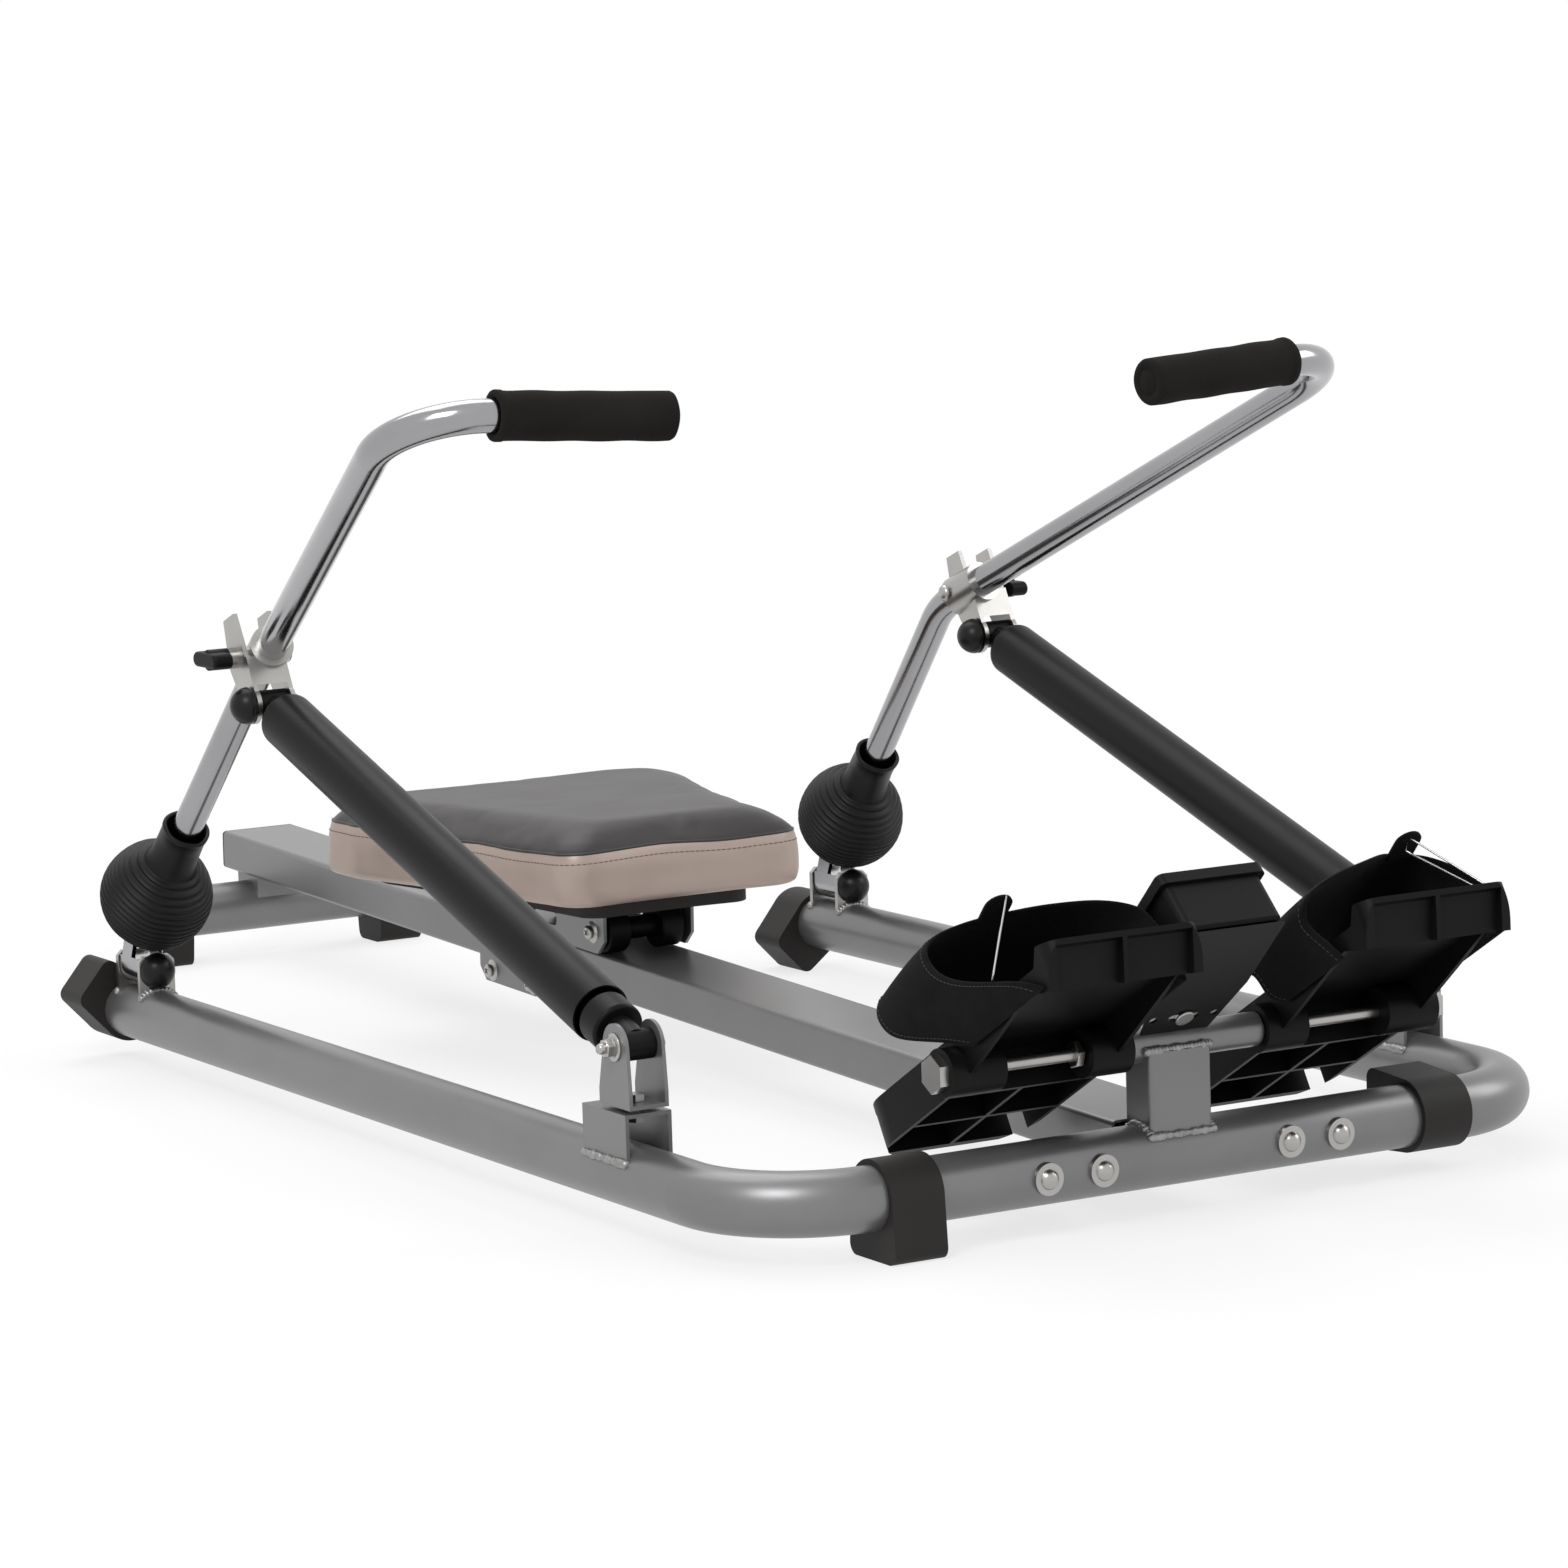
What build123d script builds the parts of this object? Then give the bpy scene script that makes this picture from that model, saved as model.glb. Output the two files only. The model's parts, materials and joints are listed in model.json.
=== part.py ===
from build123d import *
from math import asin, atan, cos, degrees, hypot, radians, sin, sqrt, tan
import os

# Hydraulic rowing machine. All sizes are in millimetres.
# +Y runs from the footrests to the rear, +Z is up and the floor is at zero.
# Left is -X and right is +X, as seen from the footrests looking to the rear.

# Base frame sizes
tube_diameter = 50.0
tube_wall = 2.0
half_track = 365.0
front_y = -748.7
floor_reach = 47.0
corner_radius = 95.0
side_tube_length = 1168.0
left_seam_inset = 120.0
right_seam_inset = 290.0
left_spigot_length = 190.0
right_spigot_length = 92.0
slip_fit = 0.1
left_bolt_insets = (237.0, 287.0)
right_bolt_insets = (270.0, 223.0)
bolt_diameter = 8.0
bolt_clearance = 0.2
bolt_head_diameter = 16.0
bolt_head_height = 5.5
nut_height = 6.5
nut_across_flats = 13.0
saddle_washer_diameter = 25.0
saddle_washer_thickness = 3.0
overrun = 1.0

# Floor pads and end caps
pad_wall = 4.5
front_pad_width = 46.0
front_pad_inset = 120.0
front_pad_tip_half_width = 33.0
pad_corner_radius = 9.0
cap_tip_half_width = 24.0
pad_hole_large = 9.0
pad_hole_small = 6.0
pad_hole_pitch = 11.0
pad_hole_depth = 6.0
cap_overlap = 42.0
cap_end_wall = 4.0
rear_left_lobe_turn = 50.0

# Rail and rear stabilizer
rail_width = 79.0
rail_height = 37.4
rail_wall = 2.0
rail_corner = 4.0
rail_top_above_axis = 25.6
rail_slope = degrees(atan(0.031))
rail_start = 19.0
rail_end = 1622.0
rail_cap_thickness = 4.0
rail_plug_depth = 18.0
stabilizer_station = 1588.0
stabilizer_axis_height = 51.0
stabilizer_half_length = 146.0
saddle_length = 46.0
saddle_width = 60.0

# Footrest post, axle and pedals
post_width = 57.0
post_depth = 36.0
post_wall = 2.5
post_top = 82.0
pedal_axis_height = 86.0
pedal_tube_diameter = 27.0
pedal_tube_wall = 2.5
pedal_tube_half_length = 60.0
pedal_tube_shift = 20.0
bushing_length = 14.0
axle_diameter = 10.0
running_fit = 0.06
axle_head_flats = 26.0
axle_head_height = 8.0
axle_nut_height = 8.0
pedal_gap = 30.5
pedal_pitch_angle = 30.0
pedal_plate_width = 136.0
lug_diameter = 38.0
outer_lug_reach = 82.5
outer_lug_length = 48.0
inner_lug_reach = 80.5
inner_lug_length = 38.0
pedal_wall = 4.0
pedal_heel = -160.0
pedal_toe = 168.0
pedal_underside = -12.0
pedal_deck = 25.0
heel_bay_rows = 2
heel_bay_columns = 2
toe_pocket_depth = 9.0
heel_corner_radius = 46.0
deck_recess = 2.5
deck_rim = 9.0
heel_bevel = 8.0
toe_face = 150.0
toe_deck_end = 140.0
toe_block_rise = 13.0
toe_block_slant = 2.0
toe_bottom = 2.0
sole_end = 122.0
sole_rise = 12.0
plate_corner = 14.0
strap_thickness = 3.5
strap_corner = 48.0
strap_crown = 97.0
strap_foot = 42.0
strap_foot_height = 6.0
strap_anchor = -7.0
strap_anchor_height = 27.0
strap_rear = -43.0
strap_waist_height = 57.0
strap_shoulder_height = 74.0
strap_top_rear = 4.0
strap_top_front = 79.0
strap_front = 143.0
strap_front_height = 73.0
strap_tail = 174.0
strap_tail_thickness = 12.0
strap_front_low = 97.0
strap_front_low_height = 36.0
buckle_wire = 2.6
buckle_length = 76.0
buckle_height = 12.0

# Console on its bracket
console_face_length = 80.0
console_depth = 54.0
console_half_width = 44.0
console_lip = 4.0
console_lip_depth = 9.0
console_top_y = -61.0
console_top_z = 227.0
console_lean = 45.5
console_wall = 2.5
console_corner = 6.0
lens_length = 34.0
lens_width = 60.0
lens_thickness = 2.0
button_length = 12.0
button_width = 30.0
button_travel = 1.2
button_stand = 2.2
button_gap = 0.4
bracket_sheet = 2.0
bracket_top_width = 84.0
bracket_bottom_width = 56.0
bracket_hole = 7.0

# Seat and carriage
seat_front_station = 726.0
seat_rear_station = 1120.0
seat_half_width = 188.0
seat_front_taper = 67.0
seat_rear_taper = 38.0
seat_widest_front = 1030.0
seat_widest_rear = 1088.0
seat_bottom = 109.6
seat_side_height = 49.0
seat_crown = 15.0
seat_draw_in = 5.0
seat_edge_tuck = 6.0
seat_corner_radius = 30.0
board_inset = 40.0
carriage_front_station = 811.0
carriage_rear_station = 1050.0
carriage_split_station = 930.0
carriage_half_width = 46.0
carriage_plate = 3.0
carriage_top_above_rail = 45.0
carriage_skirt = 19.0
carriage_clearance = 2.0
carriage_corner = 12.0
window_length = 46.0
window_height = 14.0
roller_radius = 20.0
roller_width = 22.0
roller_place_x = 27.0
roller_gap = 0.3
front_roller_station = 832.0
rear_roller_station = 1012.0
roller_axle_diameter = 10.0
guide_radius = 8.0
guide_front_station = 950.0
guide_rear_station = 1028.0
guide_width = 78.0
screw_head_height = 3.0

# Oars, seen on the +X side
oar_diameter = 27.0
oar_wall = 2.0
oar_pivot_station = 1078.0
oar_pivot_above_axis = 92.4
oar_knee = (-18.5, 859.0, 330.0)
oar_elbow = (92.5, 358.0, 576.0)
oar_tip = (-135.5, 338.0, 563.0)
oar_knee_radius = 80.0
oar_elbow_radius = 70.0
oar_foot_length = 16.0
eye_radius = 11.0
eye_width = 22.0
pivot_pin_diameter = 8.0
grip_diameter = 39.5
grip_length = 147.0
grip_end_thickness = 4.0

# Bellows over the oar pivot
bellows_radius = 50.3
bellows_place = 27.0
bellows_mouth = 43.0
bellows_mouth_radius = 27.0
bellows_ribs_start = 36.0
bellows_ribs_end = 43.0
bellows_rib_count = 14
bellows_rib_depth = 2.4
bellows_wall = 2.6
bellows_neck_radius = 20.5
bellows_neck_bore = 17.5
bellows_seat_end = 60.0
bellows_neck_end = 90.0
bellows_rim = 3.0
bellows_rim_step = 1.0

# Yoke and its base bracket
tilt_axis_above_tube = 43.0
bracket_station = 1089.0
bracket_half_length = 26.0
bracket_plate = 5.0
bracket_half_width = 17.0
bracket_top = 57.0
bracket_bottom = 13.0
bracket_corner = 5.0
yoke_gap = 1.5
yoke_shoulder = 54.0
ear_base_front = -5.0
ear_base_rear = 15.0
pin_head_height = 2.0
yoke_ear_gap = 0.4
yoke_ear_thickness = 4.0
base_dome_radius = 16.5
base_dome_length = 16.0
pin_dome_radius = 16.0
pin_dome_length = 15.0
pin_spacer_radius = 8.0
pin_spacer_length = 3.0

# Clamp, knob and damper
clamp_start = 23.0
clamp_length = 38.0
clamp_wall = 5.0
ear_front = (829.0, 383.0)
ear_rear = (849.0, 375.0)
ear_heel = (840.0, 335.0)
upper_pin_station = 801.0
upper_pin_above_axis = 307.0
lower_pin_station = 180.0
lower_pin_above_axis = 101.6
pin_diameter = 8.0
fork_radius = 16.0
fork_half_gap = 14.0
fork_plate = 4.0
damper_eye_width = 27.0
damper_eye_radius = 12.0
sleeve_diameter = 48.0
sleeve_wall = 1.4
sleeve_top = 28.0
sleeve_bottom = 600.0
sleeve_shoulder_radius = 9.0
sleeve_neck_diameter = 20.0
rod_diameter = 26.0
rod_reach = 520.0
damper_collar_diameter = 43.0
damper_collar_start = 24.0
damper_collar_end = 50.0
knob_station = 832.0
knob_above_axis = 345.0
knob_boss_radius = 9.0
knob_boss_reach = 24.0
knob_stud_reach = 5.0
knob_gap = 0.5
knob_stud_diameter = 8.0
knob_hub_radius = 9.0
knob_length = 17.0
knob_wing_length = 46.0
knob_wing_width = 13.0

# Clevis on its swivel
swivel_bracket_front = 161.0
swivel_bracket_length = 68.0
swivel_bracket_half_width = 20.0
swivel_bracket_top = 52.0
swivel_bracket_bottom = 5.0
swivel_plate = 3.0
clevis_front = 159.0
clevis_rear = 206.0
clevis_base = 55.3
clevis_plate = 3.0
clevis_top_radius = 18.0
clevis_cheek = 12.0

# Values worked out from the sizes above
tube_radius = tube_diameter / 2
bore_radius = tube_radius - tube_wall
axis_height = floor_reach
hole_radius = bolt_diameter / 2 + bolt_clearance
slope = radians(rail_slope)
pedal_angle = radians(pedal_pitch_angle)
right = 1
left = -1
left_seam_x = left_seam_inset - half_track
right_seam_x = half_track - right_seam_inset
front_pad_place_x = half_track - front_pad_inset
bolt_places_x = (
    *(inset - half_track for inset in left_bolt_insets),
    *(half_track - inset for inset in right_bolt_insets),
)
pedal_half_pitch = pedal_plate_width / 2 + console_half_width + pedal_gap


def save(piece, name):
    piece.part.label = name
    export_step(piece.part, f"parts/{name}.step")


def side_view(x):
    # Sketch axes run along +Y and +Z
    return Plane(origin=(x, 0, 0), x_dir=(0, 1, 0), z_dir=(1, 0, 0))


def front_view(y):
    # Sketch axes run along +X and +Z, and a negative extrusion runs to the rear
    return Plane(origin=(0, y, 0), x_dir=(1, 0, 0), z_dir=(0, -1, 0))


def bar(plane, radius, length, bore=0, mode=Mode.ADD):
    with BuildSketch(plane) as section:
        Circle(radius)
        if bore:
            Circle(bore, mode=Mode.SUBTRACT)
    extrude(section.sketch, amount=length, mode=mode)


def hexagon(plane, flats, height):
    with BuildSketch(plane) as section:
        RegularPolygon(flats / 2, 6, major_radius=False)
    extrude(section.sketch, amount=height)


def outlined(plane, points, length, corner=0, mode=Mode.ADD):
    # A prism whose section is a polygon, with its corners rounded where a radius is given
    with BuildSketch(plane) as section:
        with BuildLine():
            Polyline(*points, close=True)
        make_face()
        if corner:
            fillet(section.vertices(), corner)
    extrude(section.sketch, amount=length, mode=mode)


def domed_end(plane, radius, height):
    # A cap whose profile is an arc from the rim to the pole, no higher than its radius
    ball = (radius ** 2 + height ** 2) / (2 * height)
    half_turn = asin(radius / ball) / 2
    halfway = (ball * sin(half_turn), height - ball + ball * cos(half_turn))
    profile = Plane(origin=plane.origin, x_dir=plane.x_dir, z_dir=-plane.y_dir)
    with BuildSketch(profile) as face:
        with BuildLine():
            Line((0, 0), (radius, 0))
            ThreePointArc((radius, 0), halfway, (0, height))
            Line((0, height), (0, 0))
        make_face()
    revolve(face.sketch, axis=Axis(plane.origin, plane.z_dir))


def station(y_from_front, above_axis):
    # A point beside the frame, given from the front tube's axis
    return front_y + y_from_front, axis_height + above_axis


def space_point(side, place):
    # A point given outwards from the side tube, back from the front tube and up from both
    y, z = station(place[1], place[2])
    return Vector(side * (half_track + place[0]), y, z)


# Base tubes

def tube_spigot(seam_x, direction, length):
    spigot_radius = bore_radius - slip_fit
    seat_x = seam_x - direction * tube_wall
    facing = Plane(origin=(seat_x, front_y, axis_height), z_dir=(direction, 0, 0))
    bar(facing, tube_radius, tube_wall, spigot_radius - tube_wall)
    bar(facing, spigot_radius, length + tube_wall, spigot_radius - tube_wall)


def bolt_holes(places):
    for x in places:
        across = Plane(origin=(x, front_y + tube_diameter, axis_height), z_dir=(0, -1, 0))
        bar(across, hole_radius, tube_diameter + tube_diameter, mode=Mode.SUBTRACT)


def side_tube(side, seam_x):
    with BuildPart() as tube:
        with BuildLine():
            FilletPolyline(
                (seam_x, front_y, axis_height),
                (side * half_track, front_y, axis_height),
                (side * half_track, front_y + side_tube_length, axis_height),
                radius=corner_radius,
            )
        with BuildSketch(Plane(origin=(seam_x, front_y, axis_height), z_dir=(side, 0, 0))):
            Circle(tube_radius)
            Circle(bore_radius, mode=Mode.SUBTRACT)
        sweep()
        if side == left:
            tube_spigot(seam_x, right, left_spigot_length)
        bolt_holes(bolt_places_x)
    return tube


side_tube_left = side_tube(left, left_seam_x)
save(side_tube_left, "side_tube_left")
side_tube_right = side_tube(right, right_seam_x)
save(side_tube_right, "side_tube_right")

with BuildPart() as front_tube:
    seam_plane = Plane(origin=(left_seam_x, front_y, axis_height), z_dir=(1, 0, 0))
    bar(seam_plane, tube_radius, right_seam_x - left_seam_x, bore_radius)
    tube_spigot(right_seam_x, right, right_spigot_length)
    bolt_holes(bolt_places_x)
save(front_tube, "front_tube")

with BuildPart() as frame_bolts:
    for x in bolt_places_x:
        with BuildSketch(Plane(origin=(x, front_y, axis_height), x_dir=(1, 0, 0), z_dir=(0, -1, 0))):
            Circle(saddle_washer_diameter / 2)
            Circle(hole_radius, mode=Mode.SUBTRACT)
        extrude(amount=tube_radius + saddle_washer_thickness)
        bar(Plane(origin=(x - tube_radius, front_y, axis_height), z_dir=(1, 0, 0)),
            tube_radius, tube_diameter, mode=Mode.SUBTRACT)
    for x in bolt_places_x:
        crest = front_y - tube_radius - saddle_washer_thickness
        back = front_y + tube_radius
        outward = Plane(origin=(x, crest, axis_height), z_dir=(0, -1, 0))
        domed_end(outward, bolt_head_diameter / 2, bolt_head_height)
        inward = Plane(origin=(x, crest, axis_height), z_dir=(0, 1, 0))
        bar(inward, bolt_diameter / 2, back - crest + nut_height)
        hexagon(Plane(origin=(x, back, axis_height), z_dir=(0, 1, 0)), nut_across_flats, nut_height)
save(frame_bolts, "frame_bolts")


# Floor pads and caps: a sleeve with one lobe, turned round its tube

def lobed_outline(reach, tip_half_width, turn):
    # Drawn about the tube's axis, with the lobe pointing down before the turn
    with BuildSketch() as outline:
        Circle(collar_radius)
        with BuildLine():
            Polyline(
                (-collar_radius, 0),
                (-tip_half_width, -reach),
                (tip_half_width, -reach),
                (collar_radius, 0),
                close=True,
            )
        make_face()
        fillet(outline.vertices().group_by(Axis.Y)[0], pad_corner_radius)
    return outline.sketch.rotate(Axis.Z, turn)


def lobe_holes(centre, facing, along, reach):
    # A row of blind holes in the lobe's flat end, large at both ends of the row
    sizes = (pad_hole_large, pad_hole_small, pad_hole_small, pad_hole_large)
    middle = (len(sizes) - 1) / 2
    face = Plane(origin=centre + facing * reach, x_dir=along, z_dir=facing)
    for place, size in enumerate(sizes):
        with BuildSketch(face) as hole:
            with Locations((0, (place - middle) * pad_hole_pitch)):
                Circle(size / 2)
        extrude(hole.sketch, amount=-pad_hole_depth, mode=Mode.SUBTRACT)


collar_radius = tube_radius + pad_wall

with BuildPart() as front_feet:
    for x, turn in ((-front_pad_place_x, 0), (front_pad_place_x, 90)):
        with BuildSketch(side_view(x - front_pad_width / 2)):
            with Locations((front_y, axis_height)):
                add(lobed_outline(floor_reach, front_pad_tip_half_width, turn))
                Circle(tube_radius, mode=Mode.SUBTRACT)
        extrude(amount=front_pad_width)
        facing = Vector(0, sin(radians(turn)), -cos(radians(turn)))
        lobe_holes(Vector(x, front_y, axis_height), facing, (1, 0, 0), floor_reach)
save(front_feet, "front_feet")

# The right rear cap is rolled until a rounded corner of its lobe stands on the floor
lobe_side = hypot(collar_radius - cap_tip_half_width, floor_reach)
corner_inset = pad_corner_radius * (lobe_side - collar_radius + cap_tip_half_width) / floor_reach
roll_up = 2 * degrees(atan((cap_tip_half_width - corner_inset) / (floor_reach - pad_corner_radius)))

with BuildPart() as rear_caps:
    tube_end = front_y + side_tube_length
    for x, turn in ((-half_track, -180 + rear_left_lobe_turn), (half_track, -roll_up)):
        with BuildSketch(front_view(tube_end + cap_end_wall)):
            with Locations((x, axis_height)):
                add(lobed_outline(floor_reach, cap_tip_half_width, turn))
        extrude(amount=cap_overlap + cap_end_wall)
        bar(Plane(origin=(x, tube_end, axis_height), z_dir=(0, -1, 0)),
            tube_radius, cap_overlap + overrun, mode=Mode.SUBTRACT)
save(rear_caps, "rear_caps")

stabilizer_y = front_y + stabilizer_station
with BuildPart() as stabilizer_caps:
    for side in (left, right):
        end_x = side * stabilizer_half_length
        with BuildSketch(side_view(end_x + side * cap_end_wall)):
            with Locations((stabilizer_y, stabilizer_axis_height)):
                add(lobed_outline(stabilizer_axis_height, cap_tip_half_width, 0))
        extrude(amount=-side * (cap_overlap + cap_end_wall))
        bar(Plane(origin=(end_x, stabilizer_y, stabilizer_axis_height), z_dir=(-side, 0, 0)),
            tube_radius, cap_overlap + overrun, mode=Mode.SUBTRACT)
save(stabilizer_caps, "stabilizer_caps")


# Rail, its end cap and the stabilizer

rail_direction = Vector(0, cos(slope), sin(slope))
rail_origin = Vector(0, front_y, axis_height + rail_top_above_axis)
rail_section = Plane(origin=rail_origin, x_dir=(1, 0, 0), z_dir=rail_direction)


def rail_top(from_front):
    return axis_height + rail_top_above_axis + from_front * sin(slope) / cos(slope)


def rail_bar(start, length, width, height, corner, depth, mode=Mode.ADD):
    with BuildSketch(rail_section.offset(start)) as section:
        with Locations((0, depth + height / 2)):
            RectangleRounded(width, height, corner)
    extrude(section.sketch, amount=length, mode=mode)


with BuildPart() as rail:
    rail_length = rail_end - rail_start
    inner_width = rail_width - 2 * rail_wall
    inner_height = rail_height - 2 * rail_wall
    rail_bar(rail_start, rail_length, rail_width, rail_height, rail_corner, 0)
    rail_bar(rail_start - overrun, rail_length + 2 * overrun, inner_width, inner_height,
             rail_corner - rail_wall, rail_wall, Mode.SUBTRACT)
    bar(Plane(origin=(-rail_width, front_y, axis_height), z_dir=(1, 0, 0)),
        tube_radius, 2 * rail_width, mode=Mode.SUBTRACT)
save(rail, "rail")

with BuildPart() as rail_end_cap:
    rail_bar(rail_end, rail_cap_thickness, rail_width, rail_height, rail_corner, 0)
    rail_bar(rail_end - rail_plug_depth, rail_plug_depth, inner_width - 2 * slip_fit,
             inner_height - 2 * slip_fit, rail_corner - rail_wall, rail_wall + slip_fit)
    cap_face = rail_end_cap.faces().sort_by(Axis.Y)[-1]
    fillet(cap_face.edges(), rail_cap_thickness / 2)
save(rail_end_cap, "rail_end_cap")

with BuildPart() as stabilizer_tube:
    with BuildSketch(Plane.XY.offset(stabilizer_axis_height)):
        with Locations((0, stabilizer_y)):
            Rectangle(saddle_width, saddle_length)
    extrude(amount=tube_diameter)
    rail_bar(stabilizer_station - saddle_length, 2 * saddle_length, 2 * rail_width,
             tube_diameter + rail_height, rail_corner, -tube_diameter, Mode.SUBTRACT)
    bar(Plane(origin=(-stabilizer_half_length, stabilizer_y, stabilizer_axis_height), z_dir=(1, 0, 0)),
        tube_radius, 2 * stabilizer_half_length)
    bar(Plane(origin=(-stabilizer_half_length - overrun, stabilizer_y, stabilizer_axis_height),
              z_dir=(1, 0, 0)),
        bore_radius, 2 * stabilizer_half_length + 2 * overrun, mode=Mode.SUBTRACT)
save(stabilizer_tube, "stabilizer_tube")


# Footrest post, pedal tube and axle

pedal_z = axis_height + pedal_axis_height
pedal_tube_left = pedal_tube_shift - pedal_tube_half_length
pedal_tube_right = pedal_tube_shift + pedal_tube_half_length
pedal_tube_bore = pedal_tube_diameter / 2 - pedal_tube_wall

with BuildPart() as footrest_post:
    with BuildSketch(Plane.XY.offset(axis_height)):
        with Locations((0, front_y)):
            RectangleRounded(post_width, post_depth, rail_corner)
            RectangleRounded(post_width - 2 * post_wall, post_depth - 2 * post_wall,
                             rail_corner - post_wall, mode=Mode.SUBTRACT)
    extrude(amount=post_top)
    bar(Plane(origin=(-post_width, front_y, axis_height), z_dir=(1, 0, 0)),
        tube_radius, 2 * post_width, mode=Mode.SUBTRACT)
    bar(Plane(origin=(-post_width, front_y, pedal_z), z_dir=(1, 0, 0)),
        pedal_tube_diameter / 2, 2 * post_width, mode=Mode.SUBTRACT)
save(footrest_post, "footrest_post")

with BuildPart() as pedal_tube:
    bar(Plane(origin=(pedal_tube_left, front_y, pedal_z), z_dir=(1, 0, 0)),
        pedal_tube_diameter / 2, 2 * pedal_tube_half_length, pedal_tube_bore)
save(pedal_tube, "pedal_tube")

with BuildPart() as axle_bushings:
    for x, facing in ((pedal_tube_left, right), (pedal_tube_right, left)):
        inner_end = Plane(origin=(x, front_y, pedal_z), z_dir=(facing, 0, 0))
        bar(inner_end, pedal_tube_bore, bushing_length, axle_diameter / 2)
        bar(inner_end, pedal_tube_diameter / 2, -overrun, axle_diameter / 2)
save(axle_bushings, "axle_bushings")

pedal_left_x = pedal_tube_shift - pedal_half_pitch
pedal_right_x = pedal_tube_shift + pedal_half_pitch
axle_left = pedal_left_x - outer_lug_reach - running_fit
axle_right = pedal_right_x + outer_lug_reach + running_fit

with BuildPart() as pedal_axle:
    bar(Plane(origin=(axle_left, front_y, pedal_z), z_dir=(1, 0, 0)),
        axle_diameter / 2, axle_right - axle_left + axle_nut_height)
    hexagon(Plane(origin=(axle_left, front_y, pedal_z), z_dir=(-1, 0, 0)), axle_head_flats, axle_head_height)
    hexagon(Plane(origin=(axle_right, front_y, pedal_z), z_dir=(1, 0, 0)), axle_head_flats, axle_nut_height)
save(pedal_axle, "pedal_axle")


# Pedals, drawn flat and placed on their pitched planes

def pedal_plane(x):
    return Plane(origin=(x, front_y, pedal_z), x_dir=(-1, 0, 0),
                 z_dir=(0, sin(pedal_angle), cos(pedal_angle)))


def pedal_side(x, offset):
    # Sketch axes run towards the toe and up from the deck
    flat = pedal_plane(x)
    return Plane(origin=flat.origin + flat.x_dir * offset, x_dir=flat.y_dir, z_dir=flat.x_dir)


pedal_profile = (
    (pedal_heel + heel_bevel, pedal_underside),
    (pedal_heel, 0),
    (pedal_heel + heel_bevel, pedal_deck),
    (toe_deck_end, pedal_deck),
    (toe_face, pedal_deck + toe_block_rise),
    (pedal_toe, pedal_deck + toe_block_rise - toe_block_slant),
    (toe_face, toe_bottom),
    (sole_end, sole_rise),
    (0, pedal_underside),
)


def pedal_body(x, outer_sign):
    half = pedal_plate_width / 2
    middle = (pedal_heel + pedal_toe) / 2
    plate_length = pedal_toe - pedal_heel
    with BuildPart() as pedal:
        with BuildSketch(pedal_side(x, -half)):
            with BuildLine():
                Polyline(*pedal_profile, close=True)
            make_face()
        extrude(amount=pedal_plate_width)
        with BuildSketch(pedal_plane(x).offset(-lug_diameter)) as plan:
            with Locations((0, middle)):
                Rectangle(pedal_plate_width, plate_length)
            fillet(plan.vertices().group_by(Axis.Y)[0], heel_corner_radius)
            fillet(plan.vertices().group_by(Axis.Y)[-1], plate_corner)
        extrude(amount=3 * lug_diameter, mode=Mode.INTERSECT)
        heel_start = pedal_heel + heel_bevel + 2 * pedal_wall
        sole_start = -lug_diameter / 2 - pedal_wall
        heel_end = sole_start - pedal_wall
        column = (pedal_plate_width - (heel_bay_columns + 1) * pedal_wall) / heel_bay_columns
        row = (heel_end - heel_start + pedal_wall) / heel_bay_rows - pedal_wall
        with BuildSketch(pedal_plane(x).offset(pedal_deck - pedal_wall - deck_recess)):
            with Locations((0, (heel_start + heel_end) / 2)):
                with GridLocations(column + pedal_wall, row + pedal_wall, heel_bay_columns, heel_bay_rows):
                    Rectangle(column, row)
            with Locations((0, (sole_start + sole_end) / 2)):
                Rectangle(pedal_plate_width - 2 * pedal_wall, sole_end - sole_start)
        extrude(amount=-2 * lug_diameter, mode=Mode.SUBTRACT)
        pocket_top = pedal_deck + toe_block_rise - toe_block_slant - pedal_wall
        pocket = (
            (toe_face + overrun, toe_bottom - overrun),
            (pedal_toe + overrun, pocket_top),
            (pedal_toe - toe_pocket_depth, pocket_top),
            (toe_face - toe_pocket_depth, toe_bottom - overrun),
        )
        pocket_width = half - pedal_wall * 5 / 2
        for start in (2 * pedal_wall - half, pedal_wall / 2):
            outlined(pedal_side(x, start), pocket, pocket_width, mode=Mode.SUBTRACT)
        deck_length = toe_deck_end - pedal_heel - heel_bevel
        with BuildSketch(pedal_plane(x).offset(pedal_deck)):
            with Locations((0, toe_deck_end - deck_length / 2)):
                RectangleRounded(pedal_plate_width - 2 * deck_rim, deck_length - 2 * deck_rim, deck_rim)
        extrude(amount=-deck_recess, mode=Mode.SUBTRACT)
        outer = pedal_side(x, outer_sign * outer_lug_reach)
        inner = pedal_side(x, -outer_sign * inner_lug_reach)
        bar(outer, lug_diameter / 2, -outer_sign * outer_lug_length)
        bar(inner, lug_diameter / 2, outer_sign * inner_lug_length)
        bar(pedal_side(x, -pedal_plate_width), axle_diameter / 2 + running_fit, 2 * pedal_plate_width,
            mode=Mode.SUBTRACT)
    return pedal


strap_outline = (
    (strap_foot, strap_foot_height),
    (strap_anchor, strap_anchor_height),
    (strap_rear, strap_waist_height),
    (strap_rear, strap_shoulder_height),
    (strap_top_rear, strap_crown),
    (strap_top_front, strap_crown),
    (strap_front, strap_front_height),
    (strap_tail, strap_front_height),
    (strap_tail, strap_front_height - strap_tail_thickness),
    (strap_front_low, strap_front_low_height),
    (strap_front_low, strap_foot_height),
)


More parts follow.
